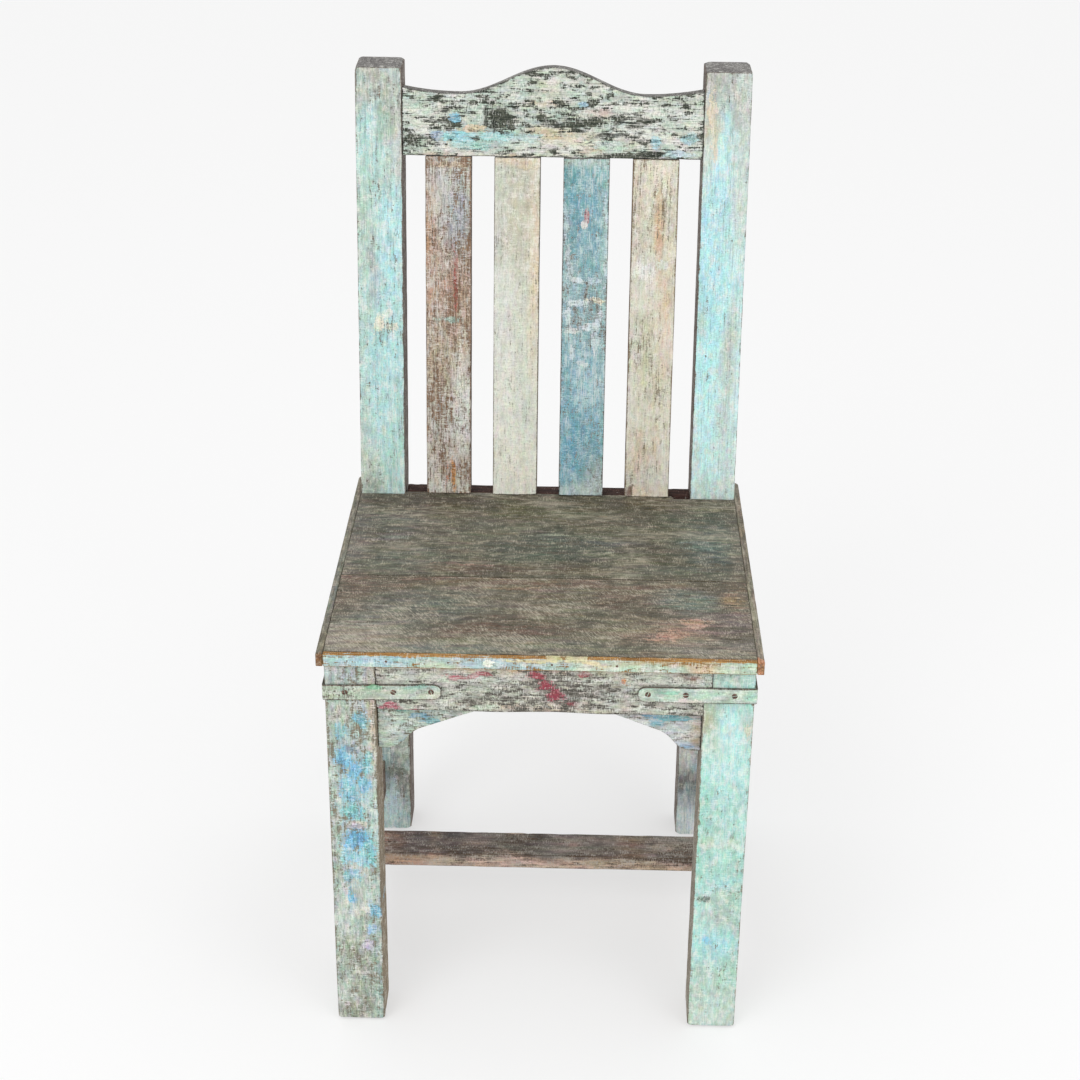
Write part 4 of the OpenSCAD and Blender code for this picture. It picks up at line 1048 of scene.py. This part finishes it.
def make_straps():
    # the dark rim round each strap, worn bare edges and darkened arrises, is partly rust and wear and partly
    # painted shadow of the gap round the strap
    green = paint_material(
        "strap_paint", wood=("4B3F38", "7A6A5C"), side="55564A", end="55564A", under="C9CDBF", cover=0.14,
        chip=0.8, chip_size=(200, 260), fibre=0.15, hair=0.15, wear=0.5, wear_mm=1.5, rub=0.7,
        tone="B2C2B4", tone_amount=0.5, vary=0.3, checks=0.1, outline=0.5, brush=0.15, dirt=0.35,
        rough=(0.7, 0.5), relief=0.3, side_bare=0.3)
    bend = 4  # length of the bar that goes round the corner
    length = STRAP_SIDE + bend + STRAP_ARM

    def bar(side, middle, tilt):
        def at(u, v, w):
            from_end = np.minimum(u, length - u)
            nose = np.clip(1 - from_end / (STRAP_H / 2), 0, 1)
            narrow = np.sqrt(np.maximum(1 - nose**2, 0.02))
            angle = np.clip((u - STRAP_SIDE) / bend, 0, 1) * math.pi / 2
            out = STRAP_T - w
            x = -OUTER - out * np.cos(angle) + np.maximum(u - STRAP_SIDE - bend, 0)
            y = LEG_Y - out * np.sin(angle) + np.maximum(STRAP_SIDE - u, 0)
            z = middle + (v - STRAP_H / 2) * narrow + np.maximum(x + OUTER, 0) * math.tan(tilt)
            return np.stack([side * x, y, z], -1)
        return at

    # a shallow dish round each screw, and one empty hole in the left strap
    heads = [(STRAP_SIDE + bend + s, STRAP_H / 2, 4.4, 0.75) for s in SCREW_AT]
    spare = (STRAP_SIDE + bend + 5, STRAP_H / 4, 1.7, 2.2)
    # height of each strap's middle line, and the rise of the left one towards the middle
    left_z, right_z = KNEE_Z - 32, KNEE_Z - 27
    tilt = math.radians(1.5)
    board("left_strap", (length, STRAP_H, STRAP_T), bar(1, left_z, tilt), green, 24, "AEB4A5", [
        (-185, 405, 20, 12, "A8BEA8", 1), (-165, 410, 12, 5, "8DB497", 1.2),
        (-115, 410, 18, 5, "93AEA0", 1.2), (-100, 402, 12, 8, "C3C9B8", 1.4),
        (-150, 402, 20, 4, "B7C3AE", 1), (-205, 404, 5, 10, "A8B294", 1.6),
    ], [(-162, 412, 8, 3, "7DB592"), (-120, 411, 14, 2.4, "8CB0A4")],
          step=1.3, radius=0.45, chips=0.5, sink=0.12, bare=(0.7, 0.7, 1, 0.7, 0.7), pits=heads + [spare])
    board("right_strap", (length, STRAP_H, STRAP_T), bar(-1, right_z, 0), green, 25, "B4BFB3", [
        (165, 412, 14, 5, "9CCFB8", 1.8), (130, 412, 22, 5, "9FCBB6", 1.8),
        (108, 409, 10, 8, "A8B8AC", 1.4), (150, 402, 14, 5, "D3C9BE", 2.4),
        (190, 409, 16, 8, "B3C2B2", 1.2), (205, 412, 6, 6, "9CD0BC", 1.6),
    ], [(147, 403, 9, 4, "D9CFC8"), (128, 414, 12, 2.2, "8FC9B0")],
          step=1.3, radius=0.45, chips=0.5, sink=0.12, bare=(0.7, 0.7, 1, 0.7, 0.7), pits=heads)

    row = []
    for s in SCREW_AT:
        row.append((-OUTER + s, LEG_Y - STRAP_T + 0.35, left_z + s * math.tan(tilt), 0.7 + s))
        row.append((OUTER - s, LEG_Y - STRAP_T + 0.35, right_z, 1.9 * s))
    heads_piece("strap_screws", row, SCREW_R * 0.86, 1.6, slot=0.55)
    nails = [(x, edging_low[1] + 0.1, KNEE_Z + SEAT_T / 2, 0) for x in NAIL_X]
    heads_piece("edging_nails", nails, NAIL_R, 0.8)


def heads_piece(node, row, radius, thick, slot=0.0):
    """Domed round heads facing the front, each with a slot if it has one: x, y, z and turn of each."""
    lines = np.linspace(-1, 1, 21)
    if slot:
        lines = np.sort(np.concatenate([lines, [-0.16, -0.13, 0.13, 0.16]]))
    flat, quads = shell(lines, lines, np.array([0, 0.25, 1.0]))
    all_points, all_quads, all_grain = [], [], []
    for k, (x, y, z, turn) in enumerate(row):
        a, b, deep = flat.T
        px, pz = a * np.sqrt(1 - b * b / 2), b * np.sqrt(1 - a * a / 2)
        fall = 1 - np.sqrt(np.maximum(1 - 0.75 * (px**2 + pz**2), 0))
        cut = np.where((np.abs(b) < 0.145) & (deep < 0.01), slot, 0) if slot else 0
        y_off = fall * thick * 0.4 * (deep < 0.01) + deep * thick + cut
        rx = (px * math.cos(turn) - pz * math.sin(turn)) * radius
        rz = (px * math.sin(turn) + pz * math.cos(turn)) * radius
        points = np.stack([x + rx, y + y_off, z + rz], -1)
        all_quads.append(outward(points, quads) + len(flat) * k)
        all_points.append(points)
        all_grain.append(points * M + 0.37 * k)
    points = np.concatenate(all_points)
    piece = mesh_piece(node + "_worn", points, np.concatenate(all_quads),
                       {"grain": ("FLOAT_VECTOR", "vector", np.concatenate(all_grain))})
    return dress(piece, node, HEADS)


HEADS = head_material()

make_front_legs()
make_posts()
make_crest()
make_slats()
make_seat()
side_place = make_aprons()
make_stretchers(side_place)
make_brackets()
make_straps()


# ---- floor, light and camera ----


def make_floor():
    mesh = bpy.data.meshes.new("floor")
    half = 12  # metres
    z = -0.0005  # just under the feet
    corners = [(-half, -half, z), (half, -half, z), (half, half, z), (-half, half, z)]
    mesh.from_pydata(corners, [], [(0, 1, 2, 3)])
    floor = bpy.data.objects.new("floor", mesh)
    bpy.context.scene.collection.objects.link(floor)
    s = Shader("pale_floor")
    skin = s.node("ShaderNodeBsdfPrincipled", {
        "Base Color": (0.45, 0.45, 0.45, 1), "Roughness": 0.9, "Specular IOR Level": 0.1,
        "Emission Color": (1, 1, 1, 1), "Emission Strength": 0.5})
    s.node("ShaderNodeOutputMaterial", {"Surface": skin.outputs[0]})
    mesh.materials.append(s.material)


def area_light(name, place, target, width, power):
    data = bpy.data.lights.new(name, "AREA")
    data.shape = "DISK"
    data.size = width
    data.energy = power
    light = bpy.data.objects.new(name, data)
    bpy.context.scene.collection.objects.link(light)
    light.location = place
    aim = Vector(target) - Vector(place)
    light.rotation_euler = aim.to_track_quat("-Z", "Y").to_euler()


def make_light():
    world = bpy.data.worlds.new("studio")
    bpy.context.scene.world = world
    world.use_nodes = True
    backdrop = world.node_tree.nodes["Background"]
    backdrop.inputs["Color"].default_value = (1, 1, 1, 1)
    backdrop.inputs["Strength"].default_value = 0.9
    area_light("key", place=(-1.6, -2.6, 3.2), target=(0, 0, 0.4), width=2.2, power=38)
    area_light("fill", place=(2.2, -2.4, 1.6), target=(0, 0, 0.4), width=2.0, power=16)
    bpy.context.scene.view_settings.view_transform = "Standard"


def make_camera():
    """Stands where the photograph was taken from, as found by lining up the chair's corners."""
    yaw, pitch, roll = (math.radians(a) for a in (-1.09, 26.12, -0.60))
    ahead = Vector((math.sin(yaw) * math.cos(pitch), math.cos(yaw) * math.cos(pitch), -math.sin(pitch)))
    level = Vector((math.cos(yaw), -math.sin(yaw), 0))
    down = ahead.cross(level)
    across = math.cos(roll) * level + math.sin(roll) * down
    below = -math.sin(roll) * level + math.cos(roll) * down
    data = bpy.data.cameras.new("camera")
    data.lens = 68.5
    data.sensor_width = 36
    camera = bpy.data.objects.new("camera", data)
    bpy.context.scene.collection.objects.link(camera)
    turn = Matrix((across, -below, -ahead)).transposed()
    camera.matrix_world = Matrix.Translation((0.03219, -1.97615, 1.42809)) @ turn.to_4x4()
    bpy.context.scene.camera = camera


make_floor()
make_light()
make_camera()
